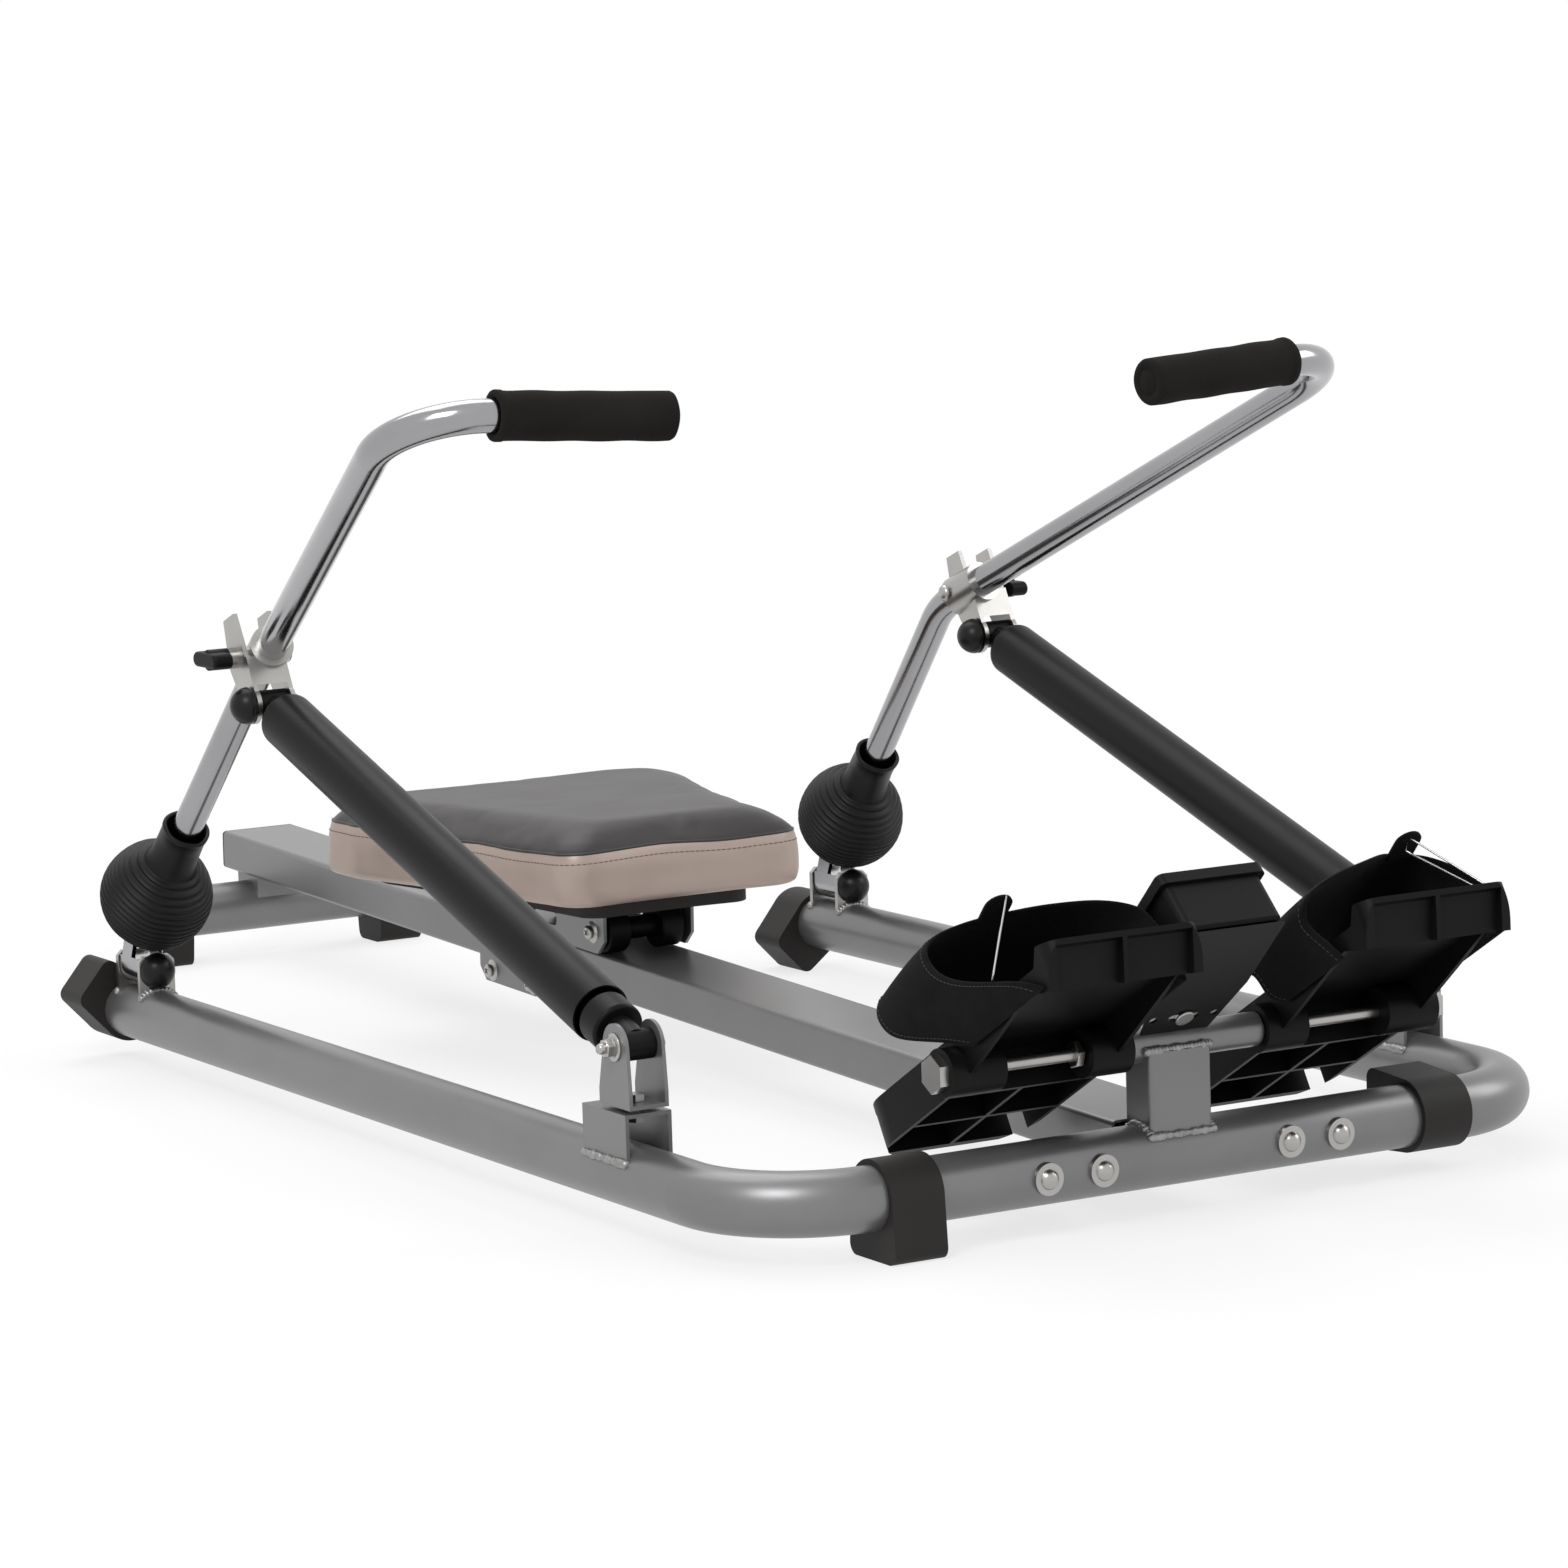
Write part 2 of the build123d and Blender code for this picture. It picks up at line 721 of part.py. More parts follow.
def strap_body(x):
    # An arch over the deck, trimmed to its outline from the side
    half = pedal_plate_width / 2 + strap_thickness
    flat = pedal_plane(x)
    rear_face = Plane(origin=flat.origin + flat.y_dir * strap_rear, x_dir=-flat.x_dir, z_dir=flat.y_dir)
    with BuildPart() as strap:
        for half_width, top, mode in ((half, strap_crown, Mode.ADD),
                                      (half - strap_thickness, strap_crown - strap_thickness, Mode.SUBTRACT)):
            with BuildSketch(rear_face) as arch:
                with Locations((0, top / 2)):
                    Rectangle(2 * half_width, top)
                fillet(arch.vertices().group_by(Axis.Y)[-1], strap_corner - half + half_width)
            extrude(arch.sketch, amount=strap_tail - strap_rear, mode=mode)
        outlined(pedal_side(x, -half), strap_outline, 2 * half, mode=Mode.INTERSECT)
    return strap


def buckle_body(x, outer_sign):
    # A wire ring lying against the strap's outer side
    offset = outer_sign * (pedal_plate_width / 2 + strap_thickness + buckle_wire / 2)
    side_plane = pedal_side(x, offset)
    run = Vector(strap_front - strap_front_low, strap_front_height - strap_front_low_height).normalized()
    rise = Vector(-run.Y, run.X)
    low = Vector(strap_front_low, strap_front_low_height) + rise * buckle_wire
    corners = (low, low + run * buckle_length, low + run * buckle_length + rise * buckle_height,
               low + rise * buckle_height)
    centre_line = [side_plane.from_local_coords((c.X, c.Y, 0)) for c in corners]
    with BuildPart() as buckle:
        with BuildLine():
            FilletPolyline(*centre_line, radius=buckle_wire, close=True)
        start = (centre_line[0] + centre_line[1]) / 2
        with BuildSketch(Plane(origin=start, z_dir=centre_line[1] - centre_line[0])):
            Circle(buckle_wire / 2)
        sweep()
    return buckle


for side_name, x, outer_sign in (("left", pedal_left_x, right), ("right", pedal_right_x, left)):
    pedal = pedal_body(x, outer_sign)
    save(pedal, f"pedal_{side_name}")
    strap = strap_body(x)
    save(strap, f"strap_{side_name}")
    buckle = buckle_body(x, outer_sign)
    save(buckle, f"buckle_{side_name}")


# Console: a tilted box with a raised lip, held by a perforated sheet

lean = radians(console_lean)
console_top_rear = Vector(0, *station(console_top_y, console_top_z))
face_down = Vector(0, cos(lean), -sin(lean))
face_back = Vector(0, -sin(lean), -cos(lean))
face_plane = Plane(origin=console_top_rear, x_dir=(1, 0, 0), z_dir=-face_back)


def face_box(width, top, length, depth, height, corner, mode=Mode.ADD):
    # A rounded box under the console's face, from a depth below it, measured down the slope
    with BuildSketch(face_plane.offset(-depth)) as section:
        with Locations((0, top + length / 2)):
            RectangleRounded(width, length, corner)
    extrude(section.sketch, amount=-height, mode=mode)


console_width = 2 * console_half_width
lens_top = console_face_length / 6
button_top = lens_top + lens_length + button_length
with BuildPart() as console_case:
    face_box(console_width + 2 * console_lip, 0, console_face_length, 0, console_lip_depth, console_corner)
    face_box(console_width, console_lip, console_face_length - 2 * console_lip, console_lip_depth,
             console_depth - console_lip_depth, console_corner)
    back_edges = console_case.faces().sort_by(Axis(console_top_rear, face_back))[-1].edges()
    chamfer(back_edges, console_corner)
    face_box(console_width - 2 * console_wall, console_lip + console_wall,
             console_face_length - 2 * console_lip - 2 * console_wall, console_wall,
             console_depth - 2 * console_wall, console_corner, Mode.SUBTRACT)
    face_box(lens_width, lens_top, lens_length, -overrun, lens_thickness + overrun, console_wall,
             Mode.SUBTRACT)
    face_box(button_width + 2 * button_gap, button_top - button_gap, button_length + 2 * button_gap,
             -overrun, console_depth / 2, console_wall, Mode.SUBTRACT)
save(console_case, "console_case")

with BuildPart() as console_lens:
    face_box(lens_width, lens_top, lens_length, 0, lens_thickness, console_wall)
save(console_lens, "console_lens")

with BuildPart() as console_button:
    face_box(button_width, button_top, button_length, -button_stand, button_stand + button_travel,
             console_wall - button_gap)
save(console_button, "console_button")

with BuildPart() as console_bracket:
    back_centre = console_top_rear + face_back * console_depth
    sheet_plane = Plane(origin=back_centre, x_dir=(1, 0, 0), z_dir=face_back)
    reach = (Vector(0, front_y, pedal_z) - back_centre).dot(face_down)
    half_top = bracket_top_width / 2
    half_bottom = bracket_bottom_width / 2
    sheet = (
        (-half_top, -console_lip),
        (half_top, -console_lip),
        (half_top, console_lip - console_face_length),
        (half_bottom, -reach),
        (-half_bottom, -reach),
        (-half_top, console_lip - console_face_length),
    )
    outlined(sheet_plane, sheet, bracket_sheet)
    hole_row = (console_face_length - reach) / 2 - console_face_length
    with BuildSketch(sheet_plane) as cutouts:
        with Locations((0, hole_row)):
            SlotOverall(half_bottom, bracket_hole)
        with GridLocations(bracket_bottom_width, bracket_hole, 2, 1):
            with Locations((0, hole_row)):
                Circle(bracket_hole / 2)
    extrude(cutouts.sketch, amount=bracket_sheet, mode=Mode.SUBTRACT)
    bar(Plane(origin=(-console_width, front_y, pedal_z), z_dir=(1, 0, 0)),
        pedal_tube_diameter / 2, 2 * console_width, mode=Mode.SUBTRACT)
save(console_bracket, "console_bracket")

with BuildPart() as console_bolt:
    with BuildSketch(sheet_plane.offset(bracket_sheet)) as head:
        with Locations((0, hole_row)):
            Circle(bolt_head_diameter / 2)
    extrude(head.sketch, amount=bolt_head_height / 2)
    fillet(console_bolt.edges().filter_by(GeomType.CIRCLE), bolt_head_height / 5)
save(console_bolt, "console_bolt")


# Brackets welded on the side tubes, with their bolts

bracket_y = front_y + bracket_station
tilt_z = axis_height + tilt_axis_above_tube
bracket_outline = (
    (-bracket_half_width, axis_height + bracket_bottom),
    (-bracket_half_width, axis_height + bracket_top - bracket_corner),
    (-bracket_half_width + bracket_corner, axis_height + bracket_top),
    (bracket_half_width - bracket_corner, axis_height + bracket_top),
    (bracket_half_width, axis_height + bracket_top - bracket_corner),
    (bracket_half_width, axis_height + bracket_bottom),
)
swivel_y = front_y + lower_pin_station
swivel_bracket_y = front_y + swivel_bracket_front


def tube_clearance(x, start_y, length):
    bar(Plane(origin=(x, start_y, axis_height), z_dir=(0, 1, 0)), tube_radius, length, mode=Mode.SUBTRACT)


with BuildPart() as oar_brackets:
    for side in (left, right):
        x = side * half_track
        for start in (-bracket_half_length, bracket_half_length - bracket_plate):
            outline = [(x + across, z) for across, z in bracket_outline]
            outlined(front_view(bracket_y + start), outline, -bracket_plate)
        tube_clearance(x, bracket_y - bracket_half_length, 2 * bracket_half_length)
        bar(Plane(origin=(x, bracket_y - bracket_half_length, tilt_z), z_dir=(0, 1, 0)),
            hole_radius, 2 * bracket_half_length, mode=Mode.SUBTRACT)
save(oar_brackets, "oar_brackets")

with BuildPart() as tilt_bolts:
    for side in (left, right):
        x = side * half_track
        front_face = bracket_y - bracket_half_length
        rear_face = bracket_y + bracket_half_length
        bar(Plane(origin=(x, front_face, tilt_z), z_dir=(0, 1, 0)),
            bolt_diameter / 2, 2 * bracket_half_length + nut_height)
        hexagon(Plane(origin=(x, rear_face, tilt_z), z_dir=(0, 1, 0)), nut_across_flats, nut_height)
save(tilt_bolts, "tilt_bolts")

with BuildPart() as base_domes:
    for side in (left, right):
        facing = Plane(origin=(side * half_track, bracket_y - bracket_half_length, tilt_z), z_dir=(0, -1, 0))
        domed_end(facing, base_dome_radius, base_dome_length)
save(base_domes, "base_domes")

with BuildPart() as damper_brackets:
    for side in (left, right):
        x = side * half_track
        outer = swivel_bracket_half_width
        inner = outer - swivel_plate
        top = axis_height + swivel_bracket_top
        bottom = axis_height + swivel_bracket_bottom
        channel = (
            (x - outer, bottom),
            (x - outer, top),
            (x + outer, top),
            (x + outer, bottom),
            (x + inner, bottom),
            (x + inner, top - swivel_plate),
            (x - inner, top - swivel_plate),
            (x - inner, bottom),
        )
        outlined(front_view(swivel_bracket_y), channel, -swivel_bracket_length)
        tube_clearance(x, swivel_bracket_y, swivel_bracket_length)
        bar(Plane(origin=(x, swivel_y, top), z_dir=(0, 0, -1)),
            hole_radius, swivel_plate, mode=Mode.SUBTRACT)
save(damper_brackets, "damper_brackets")

clevis_floor = axis_height + clevis_base
with BuildPart() as swivel_bolts:
    for side in (left, right):
        x = side * half_track
        under = axis_height + swivel_bracket_top - swivel_plate
        head = clevis_floor + clevis_plate + roller_gap
        over = axis_height + swivel_bracket_top
        bar(Plane(origin=(x, swivel_y, under - nut_height)), bolt_diameter / 2, head - under + nut_height)
        hexagon(Plane(origin=(x, swivel_y, under), z_dir=(0, 0, -1)), nut_across_flats, nut_height)
        hexagon(Plane(origin=(x, swivel_y, head)), nut_across_flats, bolt_head_height)
        bar(Plane(origin=(x, swivel_y, over)), nut_across_flats / 2, clevis_floor - over - roller_gap)
save(swivel_bolts, "swivel_bolts")


# Carriage, its rollers and axles, set along the rail's slope

def rail_point(x, from_front, above_rail):
    return Vector(x, front_y + from_front, rail_top(from_front) + above_rail)


def along_rail(place):
    # Distance along the rail of a place given from the front tube
    return place / cos(slope)


front_axle_above = roller_radius + roller_gap
guide_axle_above = -rail_height - guide_radius - roller_gap
carriage_outline = (
    (along_rail(carriage_front_station), carriage_clearance + carriage_corner),
    (along_rail(carriage_front_station), carriage_top_above_rail),
    (along_rail(carriage_rear_station), carriage_top_above_rail),
    (along_rail(carriage_rear_station), -rail_height - carriage_skirt + carriage_corner),
    (along_rail(carriage_rear_station) - carriage_corner, -rail_height - carriage_skirt),
    (along_rail(carriage_split_station) + carriage_corner, -rail_height - carriage_skirt),
    (along_rail(carriage_split_station), -rail_height - carriage_skirt + carriage_corner),
    (along_rail(carriage_split_station), carriage_clearance),
    (along_rail(carriage_front_station) + carriage_corner, carriage_clearance),
)
axle_places = (
    (front_roller_station, front_axle_above),
    (rear_roller_station, front_axle_above),
    (guide_front_station, guide_axle_above),
    (guide_rear_station, guide_axle_above),
)


def rail_side_at(x):
    return Plane(origin=rail_origin + Vector(x, 0, 0), x_dir=rail_direction, z_dir=(1, 0, 0))


with BuildPart() as carriage:
    outlined(rail_side_at(-carriage_half_width), carriage_outline, 2 * carriage_half_width)
    inner_half = carriage_half_width - carriage_plate
    hollow_low = -rail_height - carriage_skirt - overrun
    hollow_high = carriage_top_above_rail - carriage_plate
    hollow_start = along_rail(carriage_front_station) - overrun
    hollow_stop = along_rail(carriage_rear_station) + overrun
    hollow = (
        (hollow_start, hollow_low),
        (hollow_start, hollow_high),
        (hollow_stop, hollow_high),
        (hollow_stop, hollow_low),
    )
    outlined(rail_side_at(-inner_half), hollow, 2 * inner_half, mode=Mode.SUBTRACT)
    window_middle = along_rail((front_roller_station + rear_roller_station) / 2)
    with BuildSketch(rail_side_at(-carriage_half_width)) as window:
        with Locations((window_middle, carriage_top_above_rail / 2)):
            RectangleRounded(window_length, window_height, window_height / 3)
    extrude(window.sketch, amount=2 * carriage_half_width, mode=Mode.SUBTRACT)
    for place, above in axle_places:
        start = rail_point(-carriage_half_width, place, above)
        bar(Plane(origin=start, x_dir=(0, 1, 0), z_dir=(1, 0, 0)),
            roller_axle_diameter / 2 + slip_fit, 2 * carriage_half_width, mode=Mode.SUBTRACT)
save(carriage, "carriage")

with BuildPart() as roller_axles:
    for place, above in axle_places:
        start = rail_point(-carriage_half_width, place, above)
        end = rail_point(carriage_half_width, place, above)
        bar(Plane(origin=start, z_dir=(1, 0, 0)), roller_axle_diameter / 2, 2 * carriage_half_width)
        domed_end(Plane(origin=start, z_dir=(-1, 0, 0)), roller_axle_diameter, screw_head_height)
        domed_end(Plane(origin=end, z_dir=(1, 0, 0)), roller_axle_diameter, screw_head_height)
save(roller_axles, "roller_axles")


def rail_rollers(place):
    with BuildPart() as rollers:
        for side in (left, right):
            start = rail_point(side * roller_place_x - roller_width / 2, place, front_axle_above)
            bar(Plane(origin=start, z_dir=(1, 0, 0)), roller_radius, roller_width,
                roller_axle_diameter / 2 + running_fit)
        rims = rollers.edges().filter_by(GeomType.CIRCLE).filter_by(lambda rim: rim.radius > guide_radius)
        chamfer(rims, screw_head_height / 2)
        start = rail_point(-roller_place_x, place, front_axle_above)
        bar(Plane(origin=start, z_dir=(1, 0, 0)), roller_axle_diameter, 2 * roller_place_x,
            roller_axle_diameter / 2 + running_fit)
    return rollers


front_rollers = rail_rollers(front_roller_station)
save(front_rollers, "front_rollers")
rear_rollers = rail_rollers(rear_roller_station)
save(rear_rollers, "rear_rollers")

for name, place in (("guide_roller_front", guide_front_station), ("guide_roller_rear", guide_rear_station)):
    with BuildPart() as guide_roller:
        start = rail_point(-guide_width / 2, place, guide_axle_above)
        bar(Plane(origin=start, z_dir=(1, 0, 0)), guide_radius, guide_width,
            roller_axle_diameter / 2 + running_fit)
    save(guide_roller, name)


# Seat board and cushion

def seat_outline(inset, bow):
    # Eight corners in plan, with the long sides bowed in a little
    front = front_y + seat_front_station + inset
    rear = front_y + seat_rear_station - inset
    wide_front = front_y + seat_widest_front
    wide_rear = front_y + seat_widest_rear - inset / 2
    half = seat_half_width - inset
    front_half = half - seat_front_taper
    rear_half = half - seat_rear_taper
    corners = (
        (-front_half, front),
        (front_half, front),
        (half, wide_front),
        (half, wide_rear),
        (rear_half, rear),
        (-rear_half, rear),
        (-half, wide_rear),
        (-half, wide_front),
    )
    with BuildSketch() as plan:
        with BuildLine():
            for place, corner in enumerate(corners):
                following = corners[(place + 1) % len(corners)]
                run = Vector(*following) - Vector(*corner)
                if run.length < half:
                    Line(corner, following)
                    continue
                inward = Vector(-run.Y, run.X).normalized()
                ThreePointArc(corner, (Vector(*corner) + Vector(*following)) / 2 + inward * bow, following)
        make_face()
        fillet(plan.vertices(), seat_corner_radius - inset / 4)
    return plan.sketch


board_top = axis_height + seat_bottom
with BuildPart() as seat_board:
    with BuildSketch(Plane.XY.offset(board_top)):
        add(seat_outline(board_inset, seat_draw_in))
    extrude(amount=-seat_side_height)
    outlined(rail_side_at(-seat_half_width),
             ((0, carriage_top_above_rail), (along_rail(rail_end), carriage_top_above_rail),
              (along_rail(rail_end), -tube_diameter), (0, -tube_diameter)),
             2 * seat_half_width, mode=Mode.SUBTRACT)
save(seat_board, "seat_board")

seat_layers = (
    (0, seat_edge_tuck),
    (seat_side_height / 3, 0),
    (seat_side_height * 2 / 3, 0),
    (seat_side_height, seat_edge_tuck / 2),
)
crown_layers = (
    (seat_side_height, seat_edge_tuck / 2),
    (seat_side_height + seat_crown * 3 / 5, seat_corner_radius * 2 / 3),
    (seat_side_height + seat_crown, seat_corner_radius * 2),
)
with BuildPart() as seat_cushion:
    for layers in (seat_layers, crown_layers):
        for above, inset in layers:
            with BuildSketch(Plane.XY.offset(board_top + above)):
                add(seat_outline(inset, seat_draw_in))
        loft()
save(seat_cushion, "seat_cushion")


# Oars: a bent tube on an eye, with its foam grip

row_y, row_z = station(oar_pivot_station, oar_pivot_above_axis)
upper_pin_y, upper_pin_z = station(upper_pin_station, upper_pin_above_axis)
lower_pin_y, lower_pin_z = station(lower_pin_station, lower_pin_above_axis)
damper_run = hypot(upper_pin_y - lower_pin_y, upper_pin_z - lower_pin_z)


def oar_points(side):
    pivot = Vector(side * half_track, row_y, row_z)
    return pivot, space_point(side, oar_knee), space_point(side, oar_elbow), space_point(side, oar_tip)


def oar_frame(side, distance):
    # A plane across the lower stretch of an oar, at a distance from its pivot
    pivot, knee, elbow, tip = oar_points(side)
    direction = (knee - pivot).normalized()
    return Plane(origin=pivot + direction * distance, x_dir=(1, 0, 0), z_dir=direction)


def upper_frame(side, distance):
    # A plane across the middle stretch of an oar, at a distance past its knee
    pivot, knee, elbow, tip = oar_points(side)
    direction = (elbow - knee).normalized()
    return Plane(origin=knee + direction * distance, x_dir=(1, 0, 0), z_dir=direction)


def grip_frame(side):
    # A plane across the grip's inner end, looking back towards the elbow
    pivot, knee, elbow, tip = oar_points(side)
    return Plane(origin=tip, x_dir=(0, 1, 0), z_dir=(elbow - tip).normalized())


def bend_arc(before, corner, after, radius):
    # The two ends and the middle of a round bend between two straight stretches
    back = (before - corner).normalized()
    ahead = (after - corner).normalized()
    half_angle = back.get_angle(ahead) / 2
    trim = radius / tan(radians(half_angle))
    bisector = (back + ahead).normalized()
    middle = corner + bisector * (radius / sin(radians(half_angle)) - radius)
    return corner + back * trim, middle, corner + ahead * trim


def cross_plane(x, y, z):
    return Plane(origin=(x, y, z), x_dir=(0, 1, 0), z_dir=(1, 0, 0))


def oar_tube(side):
    pivot, knee, elbow, tip = oar_points(side)
    x = side * half_track
    foot = oar_frame(side, oar_foot_length)
    knee_arc = bend_arc(foot.origin, knee, elbow, oar_knee_radius)
    elbow_arc = bend_arc(knee, elbow, tip, oar_elbow_radius)
    with BuildPart() as oar:
        with BuildLine():
            Line(foot.origin, knee_arc[0])
            ThreePointArc(*knee_arc)
            Line(knee_arc[2], elbow_arc[0])
            ThreePointArc(*elbow_arc)
            Line(elbow_arc[2], tip)
        with BuildSketch(foot):
            Circle(oar_diameter / 2)
            Circle(oar_diameter / 2 - oar_wall, mode=Mode.SUBTRACT)
        sweep()
        bar(foot, oar_diameter / 2, oar_wall)
        bar(oar_frame(side, 0), eye_radius - overrun, oar_foot_length + oar_wall)
        bar(cross_plane(x - eye_width / 2, row_y, row_z), eye_radius, eye_width)
        bar(cross_plane(x - eye_width, row_y, row_z), pivot_pin_diameter / 2 + running_fit, 2 * eye_width,
            mode=Mode.SUBTRACT)
    return oar


def foam_grip(side):
    inner_end = grip_frame(side)
    with BuildPart() as grip:
        bar(inner_end, grip_diameter / 2, grip_length, oar_diameter / 2)
        bar(inner_end, grip_diameter / 2, -grip_end_thickness)
        fillet(grip.edges().filter_by(GeomType.CIRCLE).filter_by(
            lambda rim: rim.radius > oar_diameter / 2 + overrun and rim.arc_center != inner_end.origin),
            grip_end_thickness / 2)
    return grip


def bellows_radius_at(along):
    return sqrt(bellows_radius ** 2 - along ** 2)


def bellows_body(side):
    # Rings across the oar's lower stretch, four circles to each rib
    pitch = (bellows_ribs_start + bellows_ribs_end) / bellows_rib_count
    rib_shares = ((0, 1), (0.25, 0), (0.5, 0), (0.75, 1))
    rings = [(-bellows_mouth, bellows_mouth_radius)]
    for rib in range(bellows_rib_count):
        for along_share, depth_share in rib_shares:
            along = -bellows_ribs_start + (rib + along_share) * pitch
            rings.append((along, bellows_radius_at(along) - depth_share * bellows_rib_depth))
    rim_start = bellows_neck_end - bellows_rim
    rings += [
        (bellows_ribs_end, bellows_neck_radius + bellows_rim_step),
        (bellows_ribs_end + bellows_rim, bellows_neck_radius),
        (rim_start - bellows_rim_step, bellows_neck_radius - bellows_rim_step),
        (rim_start, bellows_neck_radius),
        (bellows_neck_end, bellows_neck_radius),
    ]
    lining = bellows_radius - bellows_rib_depth - bellows_wall
    mouth_bore = bellows_mouth_radius - bellows_wall
    hollow_low = sqrt(lining ** 2 - mouth_bore ** 2)
    grip_bore = oar_diameter / 2
    hollow_high = sqrt(lining ** 2 - grip_bore ** 2)
    with BuildPart() as bellows:
        for along, radius in rings:
            with BuildSketch(oar_frame(side, bellows_place + along)):
                Circle(radius)
        loft(ruled=True)
        with Locations(oar_frame(side, bellows_place)):
            Sphere(lining, mode=Mode.SUBTRACT)
        bores = (
            (-hollow_low, -bellows_mouth, mouth_bore),
            (hollow_high - overrun, bellows_neck_end, grip_bore),
            (bellows_seat_end, bellows_neck_end, bellows_neck_bore),
        )
        for start, stop, radius in bores:
            bar(oar_frame(side, bellows_place + start), radius, stop - start, mode=Mode.SUBTRACT)
    return bellows


def damper_frame(side, distance):
    # A plane across the damper, at a distance from its upper pin
    direction = Vector(0, lower_pin_y - upper_pin_y, lower_pin_z - upper_pin_z).normalized()
    upper = Vector(side * half_track, upper_pin_y, upper_pin_z)
    return Plane(origin=upper + direction * distance, x_dir=(1, 0, 0), z_dir=direction)


def damper_eye(x, y, z):
    bar(cross_plane(x - damper_eye_width / 2, y, z), damper_eye_radius, damper_eye_width)


def damper_eye_bore(x, y, z):
    bar(cross_plane(x - damper_eye_width, y, z), pin_diameter / 2 + running_fit, 2 * damper_eye_width,
        mode=Mode.SUBTRACT)


def sleeve_body(side):
    x = side * half_track
    with BuildPart() as sleeve:
        bar(damper_frame(side, sleeve_top), sleeve_diameter / 2, sleeve_bottom - sleeve_top)
        shoulder = sleeve.edges().sort_by(Axis.Y)[-1]
        fillet(shoulder, sleeve_shoulder_radius)
        bar(damper_frame(side, sleeve_top + sleeve_shoulder_radius), sleeve_diameter / 2 - sleeve_wall,
            sleeve_bottom - sleeve_top, mode=Mode.SUBTRACT)
        bar(damper_frame(side, 0), sleeve_neck_diameter / 2, sleeve_top + sleeve_wall)
        damper_eye(x, upper_pin_y, upper_pin_z)
        damper_eye_bore(x, upper_pin_y, upper_pin_z)
    return sleeve


def damper_rod(side):
    x = side * half_track
    with BuildPart() as rod:
        bar(damper_frame(side, damper_run), rod_diameter / 2, -rod_reach)
        bar(damper_frame(side, damper_run - damper_collar_start), damper_collar_diameter / 2,
            damper_collar_start - damper_collar_end)
        fillet(rod.edges().filter_by(GeomType.CIRCLE).filter_by(
            lambda rim: rim.radius > rod_diameter / 2 + overrun), damper_collar_start / 8)
        damper_eye(x, lower_pin_y, lower_pin_z)
        damper_eye_bore(x, lower_pin_y, lower_pin_z)
    return rod


def yoke_body(side):
    x = side * half_track
    half_width = eye_width / 2 + yoke_ear_gap + yoke_ear_thickness
    inner_half = half_width - yoke_ear_thickness
    block_half = bracket_half_length - bracket_plate - yoke_gap
    shoulder = axis_height + yoke_shoulder
    with BuildPart() as yoke:
        with BuildSketch(front_view(bracket_y - block_half)):
            with Locations((x, tilt_z)):
                Circle(half_width)
            with Locations((x, (tilt_z + shoulder) / 2)):
                Rectangle(2 * half_width, shoulder - tilt_z)
        extrude(amount=-2 * block_half)
        ears = (
            (bracket_y + ear_base_front, tilt_z),
            (bracket_y + ear_base_rear, tilt_z),
            (bracket_y + ear_base_rear, shoulder),
            (row_y + eye_radius, row_z),
            (row_y - eye_radius, row_z),
            (bracket_y + ear_base_front, shoulder),
        )
        outlined(side_view(x - half_width), ears, 2 * half_width)
        bar(cross_plane(x - half_width, row_y, row_z), eye_radius, 2 * half_width)
        slot_high = row_z + 2 * eye_radius
        slot = (
            (row_y - 2 * block_half, shoulder),
            (row_y - 2 * block_half, slot_high),
            (row_y + 2 * block_half, slot_high),
            (row_y + 2 * block_half, shoulder),
        )
        outlined(side_view(x - inner_half), slot, 2 * inner_half, mode=Mode.SUBTRACT)
        bar(Plane(origin=(x, bracket_y - bracket_half_length, tilt_z), z_dir=(0, 1, 0)),
            bolt_diameter / 2 + running_fit, 2 * bracket_half_length, mode=Mode.SUBTRACT)
        pin_half = half_width + pin_head_height
        bar(cross_plane(x - pin_half, row_y, row_z), pivot_pin_diameter / 2, 2 * pin_half)
        for facing in (left, right):
            head = Plane(origin=(x + facing * half_width, row_y, row_z), z_dir=(facing, 0, 0))
            bar(head, pivot_pin_diameter, pin_head_height)
    return yoke


